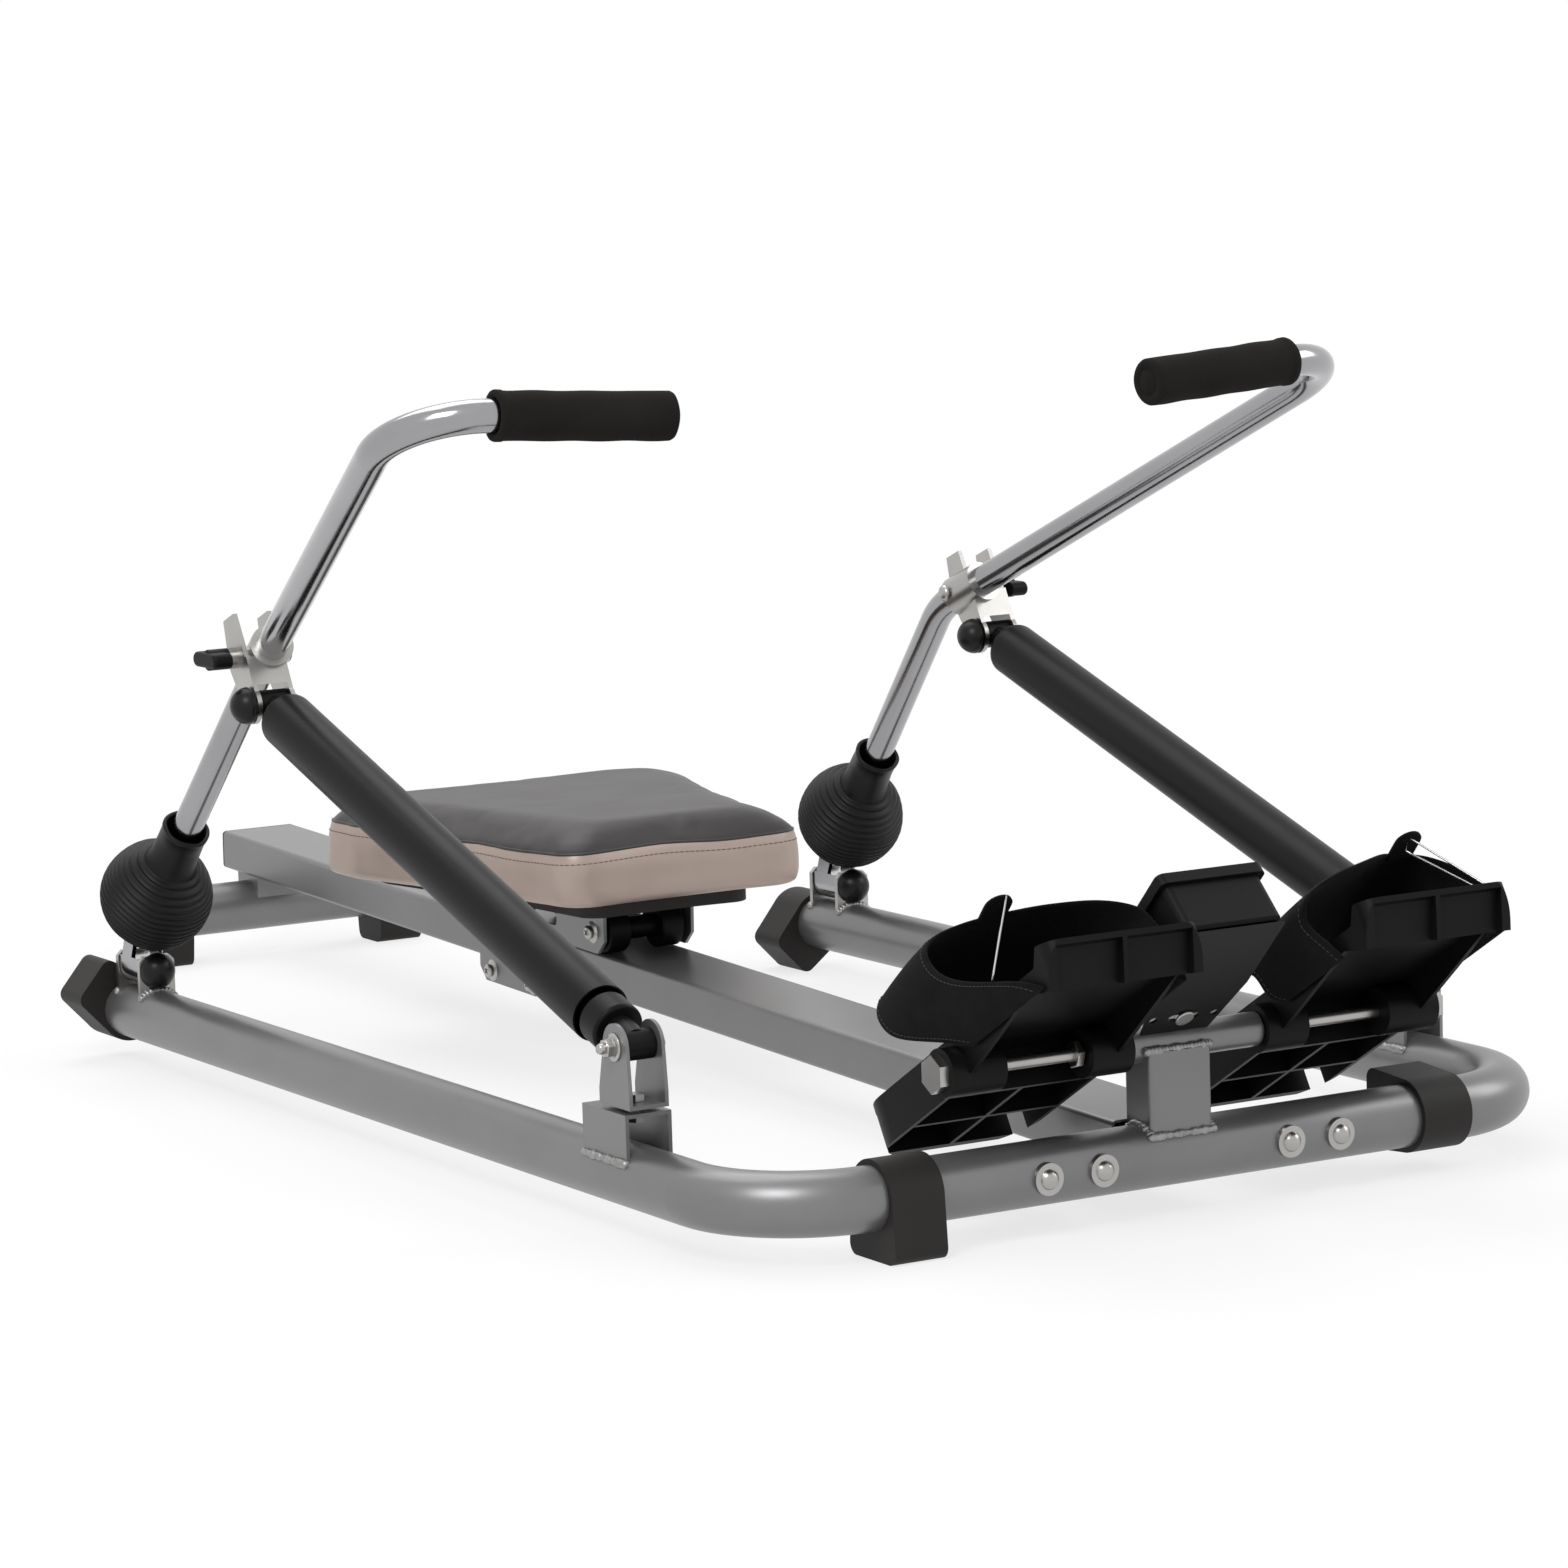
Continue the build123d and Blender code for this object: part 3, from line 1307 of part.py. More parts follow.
def clamp_body(side):
    # A collar on the oar with a forked foot for the damper's eye and a boss for the knob
    x = side * half_track
    outer_half = fork_half_gap + fork_plate
    collar = upper_frame(side, clamp_start)
    collar_centre = upper_frame(side, clamp_start + clamp_length / 2).origin
    knob_y, knob_z = station(knob_station, knob_above_axis)
    arm = (
        (upper_pin_y - fork_radius, upper_pin_z),
        (upper_pin_y + fork_radius, upper_pin_z),
        (collar_centre.Y + fork_radius, collar_centre.Z),
        (collar_centre.Y - fork_radius, collar_centre.Z),
    )
    slot_top = upper_pin_z + fork_radius + fork_plate / 2
    slot = (
        (upper_pin_y - 3 * fork_radius, slot_top),
        (upper_pin_y + 3 * fork_radius, slot_top),
        (upper_pin_y + 3 * fork_radius, upper_pin_z - 2 * fork_radius),
        (upper_pin_y - 3 * fork_radius, upper_pin_z - 2 * fork_radius),
    )
    ear = (
        (upper_pin_y - fork_radius, upper_pin_z),
        station(*ear_front),
        station(*ear_rear),
        station(*ear_heel),
        (upper_pin_y + fork_radius, upper_pin_z),
    )
    with BuildPart() as clamp:
        for start in (-outer_half, fork_half_gap):
            outlined(side_view(x + start), ear, fork_plate)
        bar(collar, oar_diameter / 2 + clamp_wall, clamp_length)
        outlined(side_view(x - outer_half), arm, 2 * outer_half)
        bar(cross_plane(x - outer_half, upper_pin_y, upper_pin_z), fork_radius, 2 * outer_half)
        boss = Plane(origin=(x - side * fork_half_gap, knob_y, knob_z), z_dir=(side, 0, 0))
        bar(boss, knob_boss_radius, fork_half_gap + knob_boss_reach)
        outlined(side_view(x - fork_half_gap), slot, 2 * fork_half_gap, mode=Mode.SUBTRACT)
        bar(upper_frame(side, 0), oar_diameter / 2, 2 * clamp_length + clamp_start, mode=Mode.SUBTRACT)
        bar(cross_plane(x - 2 * outer_half, upper_pin_y, upper_pin_z), hole_radius, 4 * outer_half,
            mode=Mode.SUBTRACT)
        stud_start = Plane(origin=(x + side * knob_stud_reach, knob_y, knob_z), z_dir=(side, 0, 0))
        bar(stud_start, knob_stud_diameter / 2 + running_fit, knob_boss_reach, mode=Mode.SUBTRACT)
    return clamp


def clamp_knob(side):
    knob_y, knob_z = station(knob_station, knob_above_axis)
    x = side * half_track
    face_x = x + side * (knob_boss_reach + knob_gap)
    stud = Plane(origin=(x + side * (knob_stud_reach + knob_gap), knob_y, knob_z), z_dir=(side, 0, 0))
    face = Plane(origin=(face_x, knob_y, knob_z), x_dir=(0, 1, 0), z_dir=(side, 0, 0))
    with BuildPart() as knob:
        bar(stud, knob_stud_diameter / 2, knob_boss_reach)
        bar(face, knob_hub_radius, knob_length)
        with BuildSketch(face.offset(knob_length / 4)) as wing:
            SlotOverall(knob_wing_length, knob_wing_width)
        extrude(wing.sketch, amount=knob_length)
        outer_rim = knob.faces().sort_by(Axis.X)[-1 if side == right else 0].edges()
        fillet(outer_rim, knob_wing_width / 4)
    return knob


def pivot_bolt(side, y, z, half_length, domed):
    # A bolt along X whose head or dome is on the -X side, with its nut on the +X side
    x = side * half_track
    head_x = x - half_length
    nut_x = x + half_length
    with BuildPart() as bolt:
        bar(cross_plane(head_x, y, z), pin_diameter / 2, 2 * half_length + nut_height)
        hexagon(cross_plane(nut_x, y, z), nut_across_flats, nut_height)
        outward = Plane(origin=(head_x, y, z), z_dir=(-1, 0, 0))
        bar(outward, pin_spacer_radius, pin_spacer_length)
        if domed:
            domed_end(outward.offset(pin_spacer_length), pin_dome_radius, pin_dome_length)
    return bolt


def clevis_body(side):
    x = side * half_track
    outer_half = fork_half_gap + clevis_plate
    front = front_y + clevis_front
    rear = front_y + clevis_rear
    cheek = clevis_floor + clevis_cheek
    outline = (
        (front, clevis_floor),
        (rear, clevis_floor),
        (rear, cheek),
        (lower_pin_y + clevis_top_radius, lower_pin_z),
        (lower_pin_y - clevis_top_radius, lower_pin_z),
        (front, cheek),
    )
    inner_floor = clevis_floor + clevis_plate
    slot = (
        (front - overrun, inner_floor),
        (front - overrun, lower_pin_z + 2 * clevis_top_radius),
        (rear + overrun, lower_pin_z + 2 * clevis_top_radius),
        (rear + overrun, inner_floor),
    )
    with BuildPart() as clevis:
        outlined(side_view(x - outer_half), outline, 2 * outer_half)
        bar(cross_plane(x - outer_half, lower_pin_y, lower_pin_z), clevis_top_radius, 2 * outer_half)
        outlined(side_view(x - fork_half_gap), slot, 2 * fork_half_gap, mode=Mode.SUBTRACT)
        bar(cross_plane(x - 2 * outer_half, lower_pin_y, lower_pin_z), hole_radius, 4 * outer_half,
            mode=Mode.SUBTRACT)
        bar(Plane(origin=(x, swivel_y, clevis_floor)), bolt_diameter / 2 + running_fit, clevis_plate,
            mode=Mode.SUBTRACT)
    return clevis


fork_outer_half = fork_half_gap + fork_plate
clevis_outer_half = fork_half_gap + clevis_plate
for side, side_name in ((left, "left"), (right, "right")):
    save(oar_tube(side), f"oar_{side_name}")
    save(foam_grip(side), f"grip_{side_name}")
    save(bellows_body(side), f"bellows_{side_name}")
    save(yoke_body(side), f"yoke_{side_name}")
    save(clamp_body(side), f"clamp_{side_name}")
    save(clamp_knob(side), f"knob_{side_name}")
    save(pivot_bolt(side, upper_pin_y, upper_pin_z, fork_outer_half, True), f"upper_pin_{side_name}")
    save(sleeve_body(side), f"sleeve_{side_name}")
    save(damper_rod(side), f"damper_{side_name}")
    save(clevis_body(side), f"clevis_{side_name}")
    save(pivot_bolt(side, lower_pin_y, lower_pin_z, clevis_outer_half, False), f"lower_pin_{side_name}")
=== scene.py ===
import bmesh
import bpy
import json
import math
import numpy as np
from mathutils import Matrix, Vector
from mathutils.bvhtree import BVHTree

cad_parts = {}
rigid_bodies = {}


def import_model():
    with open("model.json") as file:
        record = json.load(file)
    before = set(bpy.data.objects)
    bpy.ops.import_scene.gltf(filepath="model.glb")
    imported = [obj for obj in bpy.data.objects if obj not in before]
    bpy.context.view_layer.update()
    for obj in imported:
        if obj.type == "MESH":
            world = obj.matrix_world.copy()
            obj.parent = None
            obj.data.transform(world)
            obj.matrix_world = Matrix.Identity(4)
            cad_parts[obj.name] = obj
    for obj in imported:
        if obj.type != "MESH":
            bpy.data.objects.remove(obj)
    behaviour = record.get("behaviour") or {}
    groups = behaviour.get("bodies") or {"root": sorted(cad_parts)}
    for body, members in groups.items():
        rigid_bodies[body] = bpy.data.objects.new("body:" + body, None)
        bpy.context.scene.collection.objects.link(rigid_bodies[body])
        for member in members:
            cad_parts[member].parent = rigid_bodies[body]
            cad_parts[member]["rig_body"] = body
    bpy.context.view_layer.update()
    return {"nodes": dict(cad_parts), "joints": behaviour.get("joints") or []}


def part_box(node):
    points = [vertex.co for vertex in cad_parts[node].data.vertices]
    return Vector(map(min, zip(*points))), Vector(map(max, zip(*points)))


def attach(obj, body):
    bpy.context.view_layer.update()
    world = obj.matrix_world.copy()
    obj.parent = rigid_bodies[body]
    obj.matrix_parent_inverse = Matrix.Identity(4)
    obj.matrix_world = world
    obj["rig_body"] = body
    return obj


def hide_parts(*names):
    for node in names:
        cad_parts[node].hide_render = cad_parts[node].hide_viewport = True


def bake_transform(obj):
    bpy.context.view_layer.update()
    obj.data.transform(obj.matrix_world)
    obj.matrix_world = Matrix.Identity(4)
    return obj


# Hydraulic rowing machine: finishes, soft pieces, welds and small fasteners laid over its frame

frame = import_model()
nodes = frame["nodes"]


def joint_place(name):
    return Vector(next(joint["pos_m"] for joint in frame["joints"] if joint["name"] == name))


# Places and sizes that several pieces share, in metres

SIDES = {"left": -1, "right": 1}
ACROSS = Vector((1, 0, 0))
HALF_TRACK = joint_place("oar_pull_right").x
FRONT_Y = joint_place("pedal_swing_right").y
AXIS_Z = 0.047
TUBE_RADIUS = 0.025
OAR_RADIUS = 0.0135
LEAST_LENGTH = 1e-9


# Camera, fitted to the photograph: lens and sensor in millimetres, turns in radians

LENS = 125.99
SENSOR = 36.0
CAMERA_PLACE = (-2.3326, -4.1581, 0.8977)
CAMERA_YAW = 0.5307
CAMERA_PITCH = 0.1345
CAMERA_ROLL = -0.0311


def add_camera():
    ahead = Vector((math.sin(CAMERA_YAW) * math.cos(CAMERA_PITCH),
                    math.cos(CAMERA_YAW) * math.cos(CAMERA_PITCH),
                    -math.sin(CAMERA_PITCH)))
    right = Vector((math.cos(CAMERA_YAW), -math.sin(CAMERA_YAW), 0))
    up = right.cross(ahead)
    rolled_right = math.cos(CAMERA_ROLL) * right + math.sin(CAMERA_ROLL) * up
    rolled_up = -math.sin(CAMERA_ROLL) * right + math.cos(CAMERA_ROLL) * up
    data = bpy.data.cameras.new("camera")
    data.lens = LENS
    data.sensor_width = SENSOR
    camera = bpy.data.objects.new("camera", data)
    turn = Matrix((rolled_right, rolled_up, -ahead)).transposed().to_4x4()
    camera.matrix_world = Matrix.Translation(CAMERA_PLACE) @ turn
    bpy.context.scene.collection.objects.link(camera)
    bpy.context.scene.camera = camera


# Parts of a material

CLOUD_DETAIL = 4.0
CLOUD_START = 0.3
CLOUD_END = 0.7
GRAIN_DETAIL = 3.0
GRAIN_STRENGTH = 0.35


def grey(level):
    return (level, level, level)


def new_material(name):
    material = bpy.data.materials.new(name)
    material.use_nodes = True
    tree = material.node_tree
    tree.nodes.clear()
    output = tree.nodes.new("ShaderNodeOutputMaterial")
    shader = tree.nodes.new("ShaderNodeBsdfPrincipled")
    tree.links.new(shader.outputs["BSDF"], output.inputs["Surface"])
    return material, tree, shader


def own_place(tree):
    return tree.nodes.new("ShaderNodeTexCoord").outputs["Object"]


def noise(tree, place, scale, detail):
    node = tree.nodes.new("ShaderNodeTexNoise")
    node.inputs["Scale"].default_value = scale
    node.inputs["Detail"].default_value = detail
    tree.links.new(place, node.inputs["Vector"])
    return node.outputs["Fac"]


def ramp(tree, value, first_color, last_color, start, end):
    node = tree.nodes.new("ShaderNodeValToRGB")
    first, last = node.color_ramp.elements
    first.position = start
    first.color = (*first_color, 1)
    last.position = end
    last.color = (*last_color, 1)
    tree.links.new(value, node.inputs["Fac"])
    return node.outputs["Color"]


def clouded(tree, clouds, color, spread):
    # The colour, darker and lighter by the spread from cloud to cloud
    dark = tuple(part * (1 - spread) for part in color)
    light = tuple(min(1.0, part * (1 + spread)) for part in color)
    return ramp(tree, clouds, dark, light, start=CLOUD_START, end=CLOUD_END)


def map_range(tree, value, low, high, start=0.0, end=1.0):
    node = tree.nodes.new("ShaderNodeMapRange")
    node.inputs["From Min"].default_value = start
    node.inputs["From Max"].default_value = end
    node.inputs["To Min"].default_value = low
    node.inputs["To Max"].default_value = high
    tree.links.new(value, node.inputs["Value"])
    return node.outputs["Result"]


def maths(tree, operation, *values):
    # One step of arithmetic on sockets and plain numbers
    node = tree.nodes.new("ShaderNodeMath")
    node.operation = operation
    for socket, value in zip(node.inputs, values):
        if isinstance(value, (int, float)):
            socket.default_value = value
        else:
            tree.links.new(value, socket)
    return node.outputs["Value"]


def one_or_other(tree, share, first, second):
    # The first colour where the share is 0 and the second where it is 1
    mix = tree.nodes.new("ShaderNodeMix")
    mix.data_type = "RGBA"
    first_socket, second_socket = [socket for socket in mix.inputs if socket.type == "RGBA"]
    tree.links.new(share, mix.inputs["Factor"])
    tree.links.new(first, first_socket)
    tree.links.new(second, second_socket)
    return next(socket for socket in mix.outputs if socket.type == "RGBA")


def bump(tree, shader, height, strength, distance):
    node = tree.nodes.new("ShaderNodeBump")
    node.inputs["Strength"].default_value = strength
    node.inputs["Distance"].default_value = distance
    tree.links.new(height, node.inputs["Height"])
    tree.links.new(node.outputs["Normal"], shader.inputs["Normal"])


def grained(name, color, spread, rough, metallic=0.0, grain=900.0, depth=0.00008, cloud=14.0, shine=0.5,
            stretch=(1, 1, 1)):
    # A surface with soft clouding in its colour and gloss and a fine grain in its relief
    material, tree, shader = new_material(name)
    place = own_place(tree)
    mapping = tree.nodes.new("ShaderNodeMapping")
    mapping.inputs["Scale"].default_value = stretch
    tree.links.new(place, mapping.inputs["Vector"])
    clouds = noise(tree, place, scale=cloud, detail=CLOUD_DETAIL)
    fine = noise(tree, mapping.outputs["Vector"], scale=grain, detail=GRAIN_DETAIL)
    tree.links.new(clouded(tree, clouds, color, spread), shader.inputs["Base Color"])
    tree.links.new(map_range(tree, clouds, *rough), shader.inputs["Roughness"])
    shader.inputs["Metallic"].default_value = metallic
    shader.inputs["Specular IOR Level"].default_value = shine
    bump(tree, shader, fine, strength=GRAIN_STRENGTH, distance=depth)
    return material


# Finishes of the machine

ZINC_GREY = (0.42, 0.41, 0.395)
ZINC_SPREAD = 0.1
DOME_BLACK = grey(0.008)
DOME_SPREAD = 0.12
WINDOW_DARK = (0.10, 0.12, 0.11)
WINDOW_LIGHT = (0.16, 0.18, 0.16)

PAINT = grained("silver_paint", (0.205, 0.205, 0.208), spread=0.05, rough=(0.30, 0.40), metallic=0.65,
                grain=2600.0, depth=0.00004)
ZINC = grained("zinc_plate", ZINC_GREY, spread=ZINC_SPREAD, rough=(0.24, 0.38), metallic=1.0,
               grain=1400.0, depth=0.00005)
CHROME = grained("oar_chrome", (0.34, 0.34, 0.35), spread=0.04, rough=(0.13, 0.19), metallic=1.0,
                 grain=2000.0, depth=0.000003)
SLEEVE = grained("sleeve_coat", grey(0.0055), spread=0.15, rough=(0.34, 0.44), grain=1500.0, depth=0.00005,
                 shine=0.13)
PLASTIC = grained("black_plastic", grey(0.0045), spread=0.15, rough=(0.40, 0.52), grain=1300.0, depth=0.0001,
                  shine=0.12)
GLOSS = grained("dome_plastic", DOME_BLACK, spread=DOME_SPREAD, rough=(0.28, 0.38), grain=900.0,
                depth=0.00004, shine=0.2)
RUBBER = grained("bellows_rubber", grey(0.005), spread=0.15, rough=(0.36, 0.48), grain=1500.0, depth=0.00006,
                 shine=0.18)
FOAM = grained("grip_foam", (0.014, 0.0125, 0.0115), spread=0.2, rough=(0.85, 0.97), grain=1700.0,
               depth=0.0006, shine=0.1)
PAD = grained("pad_rubber", (0.017, 0.015, 0.014), spread=0.15, rough=(0.5, 0.62), grain=1100.0,
              depth=0.0001, shine=0.25)
BOARD = grained("board_wood", (0.012, 0.010, 0.009), spread=0.3, rough=(0.6, 0.75), grain=300.0,
                depth=0.0002, stretch=(1, 0.06, 1))
THREAD = grained("seat_thread", (0.16, 0.12, 0.10), spread=0.1, rough=(0.6, 0.7), grain=4000.0, depth=0.00006)
DARK_THREAD = grained("strap_thread", grey(0.012), spread=0.1, rough=(0.6, 0.7), grain=4000.0, depth=0.00006)
WELT = grained("welt_vinyl", (0.02, 0.018, 0.018), spread=0.12, rough=(0.4, 0.5), grain=900.0, depth=0.0001)
WELD = grained("weld_bead", (0.30, 0.295, 0.29), spread=0.2, rough=(0.25, 0.5), metallic=0.8, grain=700.0,
               depth=0.0002, cloud=220.0)


def glass_window():
    # Dark glass over the grey face of the display
    material, tree, shader = new_material("console_window")
    clouds = noise(tree, own_place(tree), scale=60.0, detail=2.0)
    color = ramp(tree, clouds, WINDOW_DARK, WINDOW_LIGHT, start=0.2, end=0.8)
    tree.links.new(color, shader.inputs["Base Color"])
    tree.links.new(map_range(tree, clouds, low=0.04, high=0.09), shader.inputs["Roughness"])
    shader.inputs["Coat Weight"].default_value = 1.0
    return material


NODE_MATERIALS = {
    PAINT: "side_tube_left side_tube_right front_tube rail footrest_post pedal_tube stabilizer_tube carriage "
           "damper_brackets clevis_left clevis_right",
    ZINC: "frame_bolts axle_bushings pedal_axle console_bolt oar_brackets tilt_bolts swivel_bolts "
          "roller_axles clamp_left clamp_right lower_pin_left lower_pin_right buckle_left buckle_right",
    CHROME: "oar_left oar_right yoke_left yoke_right",
    SLEEVE: "sleeve_left sleeve_right damper_left damper_right console_bracket",
    PAD: "front_feet rear_caps stabilizer_caps rail_end_cap",
    PLASTIC: "pedal_left pedal_right knob_left knob_right "
             "console_case console_button strap_left strap_right front_rollers rear_rollers "
             "guide_roller_front guide_roller_rear",
    GLOSS: "base_domes",
    RUBBER: "bellows_left bellows_right",
    FOAM: "grip_left grip_right seat_cushion",
    BOARD: "seat_board",
    glass_window(): "console_lens",
}


def dress_node(name, material):
    slots = nodes[name].data.materials
    slots.clear()
    slots.append(material)


def dress_frame():
    for material, names in NODE_MATERIALS.items():
        for name in names.split():
            dress_node(name, material)


# Upper damper pins: a black dome over the left end of a zinc pin

# From the middle of the side tube to the rim of the dome
DOME_EDGE = 0.0195


def pin_finish(name, edge):
    # Dome black below an X place and zinc above it
    material, tree, shader = new_material(name)
    place = own_place(tree)
    split = tree.nodes.new("ShaderNodeSeparateXYZ")
    tree.links.new(place, split.inputs["Vector"])
    above = maths(tree, "GREATER_THAN", split.outputs["X"], edge)
    clouds = noise(tree, place, scale=14.0, detail=CLOUD_DETAIL)
    grain = noise(tree, place, scale=1400.0, detail=GRAIN_DETAIL)
    black = clouded(tree, clouds, DOME_BLACK, DOME_SPREAD)
    zinc = clouded(tree, clouds, ZINC_GREY, ZINC_SPREAD)
    tree.links.new(one_or_other(tree, above, black, zinc), shader.inputs["Base Color"])
    tree.links.new(above, shader.inputs["Metallic"])
    tree.links.new(map_range(tree, clouds, low=0.27, high=0.37), shader.inputs["Roughness"])
    shader.inputs["Specular IOR Level"].default_value = 0.2
    bump(tree, shader, grain, strength=GRAIN_STRENGTH, distance=0.00005)
    return material


def dress_upper_pins():
    for side, sign in SIDES.items():
        dress_node("upper_pin_" + side, pin_finish("upper_pin_finish_" + side, sign * HALF_TRACK - DOME_EDGE))


# Lamps, backdrop and floor

SKY_COLOR = (0.97, 0.98, 1.0, 1)
SKY_STRENGTH = 0.55
LAMP_AIM = (0, 0, 0.2)
LAMPS = {
    "key": {"place": (-2.6, -2.2, 3.2), "width": 1.6, "power": 75},
    "fill": {"place": (2.8, -1.5, 2.0), "width": 1.6, "power": 28},
    "top": {"place": (0, 1.5, 3.5), "width": 2.6, "power": 50},
}
WHITE = (1, 1, 1, 1)
FLOOR_WIDTH = 60.0
FLOOR_DARK = grey(0.93)
FLOOR_LIGHT = grey(0.95)
GLOW_NEAR = 0.8
GLOW_FAR = 2.4
GLOW_NEAR_SHARE = 0.75


def area_lamp(name, place, width, power):
    data = bpy.data.lights.new(name, "AREA")
    data.shape = "RECTANGLE"
    data.size = width
    data.size_y = width
    data.energy = power
    lamp = bpy.data.objects.new(name, data)
    lamp.location = place
    lamp.rotation_euler = (Vector(LAMP_AIM) - Vector(place)).to_track_quat("-Z", "Y").to_euler()
    bpy.context.scene.collection.objects.link(lamp)


def seen_directly(tree):
    # 1 for rays that show the backdrop itself: from the camera, or by way of metal or glass
    path = tree.nodes.new("ShaderNodeLightPath")
    total = path.outputs["Is Camera Ray"]
    for name in ("Is Glossy Ray", "Is Transmission Ray"):
        total = maths(tree, "MAXIMUM", total, path.outputs[name])
    return total


def studio():
    world = bpy.data.worlds.new("studio")
    bpy.context.scene.world = world
    world.use_nodes = True
    tree = world.node_tree
    tree.nodes.clear()
    output = tree.nodes.new("ShaderNodeOutputWorld")
    seen = tree.nodes.new("ShaderNodeBackground")
    seen.inputs["Color"].default_value = WHITE
    seen.inputs["Strength"].default_value = 1.0
    sky = tree.nodes.new("ShaderNodeBackground")
    sky.inputs["Color"].default_value = SKY_COLOR
    sky.inputs["Strength"].default_value = SKY_STRENGTH
    mix = tree.nodes.new("ShaderNodeMixShader")
    tree.links.new(seen_directly(tree), mix.inputs["Fac"])
    tree.links.new(sky.outputs["Background"], mix.inputs[1])
    tree.links.new(seen.outputs["Background"], mix.inputs[2])
    tree.links.new(mix.outputs["Shader"], output.inputs["Surface"])
    bpy.context.scene.view_settings.view_transform = "Standard"
    for name, lamp in LAMPS.items():
        area_lamp(name, **lamp)


def add_floor():
    # A pale floor that takes the shadow near the machine and turns to plain white further off
    bpy.ops.mesh.primitive_plane_add(size=FLOOR_WIDTH)
    floor = bpy.context.active_object
    floor.name = "floor"
    material, tree, shader = new_material("floor_white")
    place = own_place(tree)
    clouds = noise(tree, place, scale=2.0, detail=2.0)
    color = ramp(tree, clouds, FLOOR_DARK, FLOOR_LIGHT, start=0.2, end=0.8)
    tree.links.new(color, shader.inputs["Base Color"])
    shader.inputs["Roughness"].default_value = 0.9
    glow = tree.nodes.new("ShaderNodeEmission")
    glow.inputs["Color"].default_value = WHITE
    glow.inputs["Strength"].default_value = 1.0
    length = tree.nodes.new("ShaderNodeVectorMath")
    length.operation = "LENGTH"
    tree.links.new(place, length.inputs[0])
    away = length.outputs["Value"]
    faded = map_range(tree, away, low=GLOW_NEAR_SHARE, high=1.0, start=GLOW_NEAR, end=GLOW_FAR)
    mix = tree.nodes.new("ShaderNodeMixShader")
    tree.links.new(maths(tree, "MULTIPLY", seen_directly(tree), faded), mix.inputs["Fac"])
    tree.links.new(shader.outputs["BSDF"], mix.inputs[1])
    tree.links.new(glow.outputs["Emission"], mix.inputs[2])
    output = next(node for node in tree.nodes if node.type == "OUTPUT_MATERIAL")
    tree.links.new(mix.outputs["Shader"], output.inputs["Surface"])
    floor.data.materials.append(material)


# Making a piece

def add_mesh(name, points, faces, material):
    mesh = bpy.data.meshes.new(name)
    mesh.from_pydata([tuple(point) for point in points], [], faces)
    mesh.validate()
    mesh.materials.append(material)
    piece = bpy.data.objects.new(name, mesh)
    bpy.context.scene.collection.objects.link(piece)
    return piece


def made_plain(piece):
    # Turns the piece's modifiers into its own mesh
    graph = bpy.context.evaluated_depsgraph_get()
    mesh = bpy.data.meshes.new_from_object(piece.evaluated_get(graph))
    piece.modifiers.clear()
    piece.data = mesh


def smooth(piece):
    piece.data.polygons.foreach_set("use_smooth", [True] * len(piece.data.polygons))
    piece.data.update()


def face_outward(piece):
    shell = bmesh.new()
    shell.from_mesh(piece.data)
    bmesh.ops.recalc_face_normals(shell, faces=shell.faces)
    shell.to_mesh(piece.data)
    shell.free()


def subdivide(piece):
    finer = piece.modifiers.new("finer", "SUBSURF")
    finer.levels = finer.render_levels = 1


def ride_on(piece, body):
    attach(piece, body)


def points_of(mesh):
    places = np.empty(len(mesh.vertices) * 3)
    mesh.vertices.foreach_get("co", places)
    return places.reshape(-1, 3)


def surface_of(mesh):
    places = [vertex.co for vertex in mesh.vertices]
    return BVHTree.FromPolygons(places, [face.vertices for face in mesh.polygons])


def between(first, last, steps):
    return [first + (last - first) * (step / steps) for step in range(steps + 1)]


def crosswise(axis):
    # The direction of an axis and two more at right angles to it
    axis = axis.normalized()
    across = axis.orthogonal().normalized()
    return axis, across, axis.cross(across)


def around(centre, across, other, angle, radius):
    return centre + (across * math.cos(angle) + other * math.sin(angle)) * radius


def bridge(low, high):
    # Faces between two closed rings of points, either of which may be a single point
    count = max(len(low), len(high))
    faces = []
    for step in range(count):
        ahead = (step + 1) % count
        if len(low) == 1:
            faces.append((low[0], high[ahead], high[step]))
        elif len(high) == 1:
            faces.append((low[step], low[ahead], high[0]))
        else:
            faces.append((low[step], low[ahead], high[ahead], high[step]))
    return faces


# Waves of an uneven soft wall: round the piece, and in radians for each metre along it
WOBBLE_ROUND = (3, 2)
WOBBLE_ALONG = (90, -60)


def turned(name, origin, axis, profile, material, segments, wobble=0.0, phase=0.0):
    # A piece of revolution from (along, radius) points; a radius of zero closes an end
    axis, across, other = crosswise(axis)
    points = []
    rings = []
    for along, radius in profile:
        centre = origin + axis * along
        if radius <= 0:
            rings.append([len(points)])
            points.append(centre)
            continue
        rings.append(range(len(points), len(points) + segments))
        for step in range(segments):
            angle = 2 * math.pi * step / segments
            first = math.sin(WOBBLE_ROUND[0] * angle + WOBBLE_ALONG[0] * along + phase)
            second = math.sin(WOBBLE_ROUND[1] * angle + WOBBLE_ALONG[1] * along)
            points.append(around(centre, across, other, angle, radius + wobble * first * second))
    faces = []
    for low, high in zip(rings, rings[1:]):
        faces += bridge(low, high)
    if len(rings[0]) > 1:
        faces += bridge(rings[-1], rings[0])
    piece = add_mesh(name, points, faces, material)
    face_outward(piece)
    smooth(piece)
    return piece


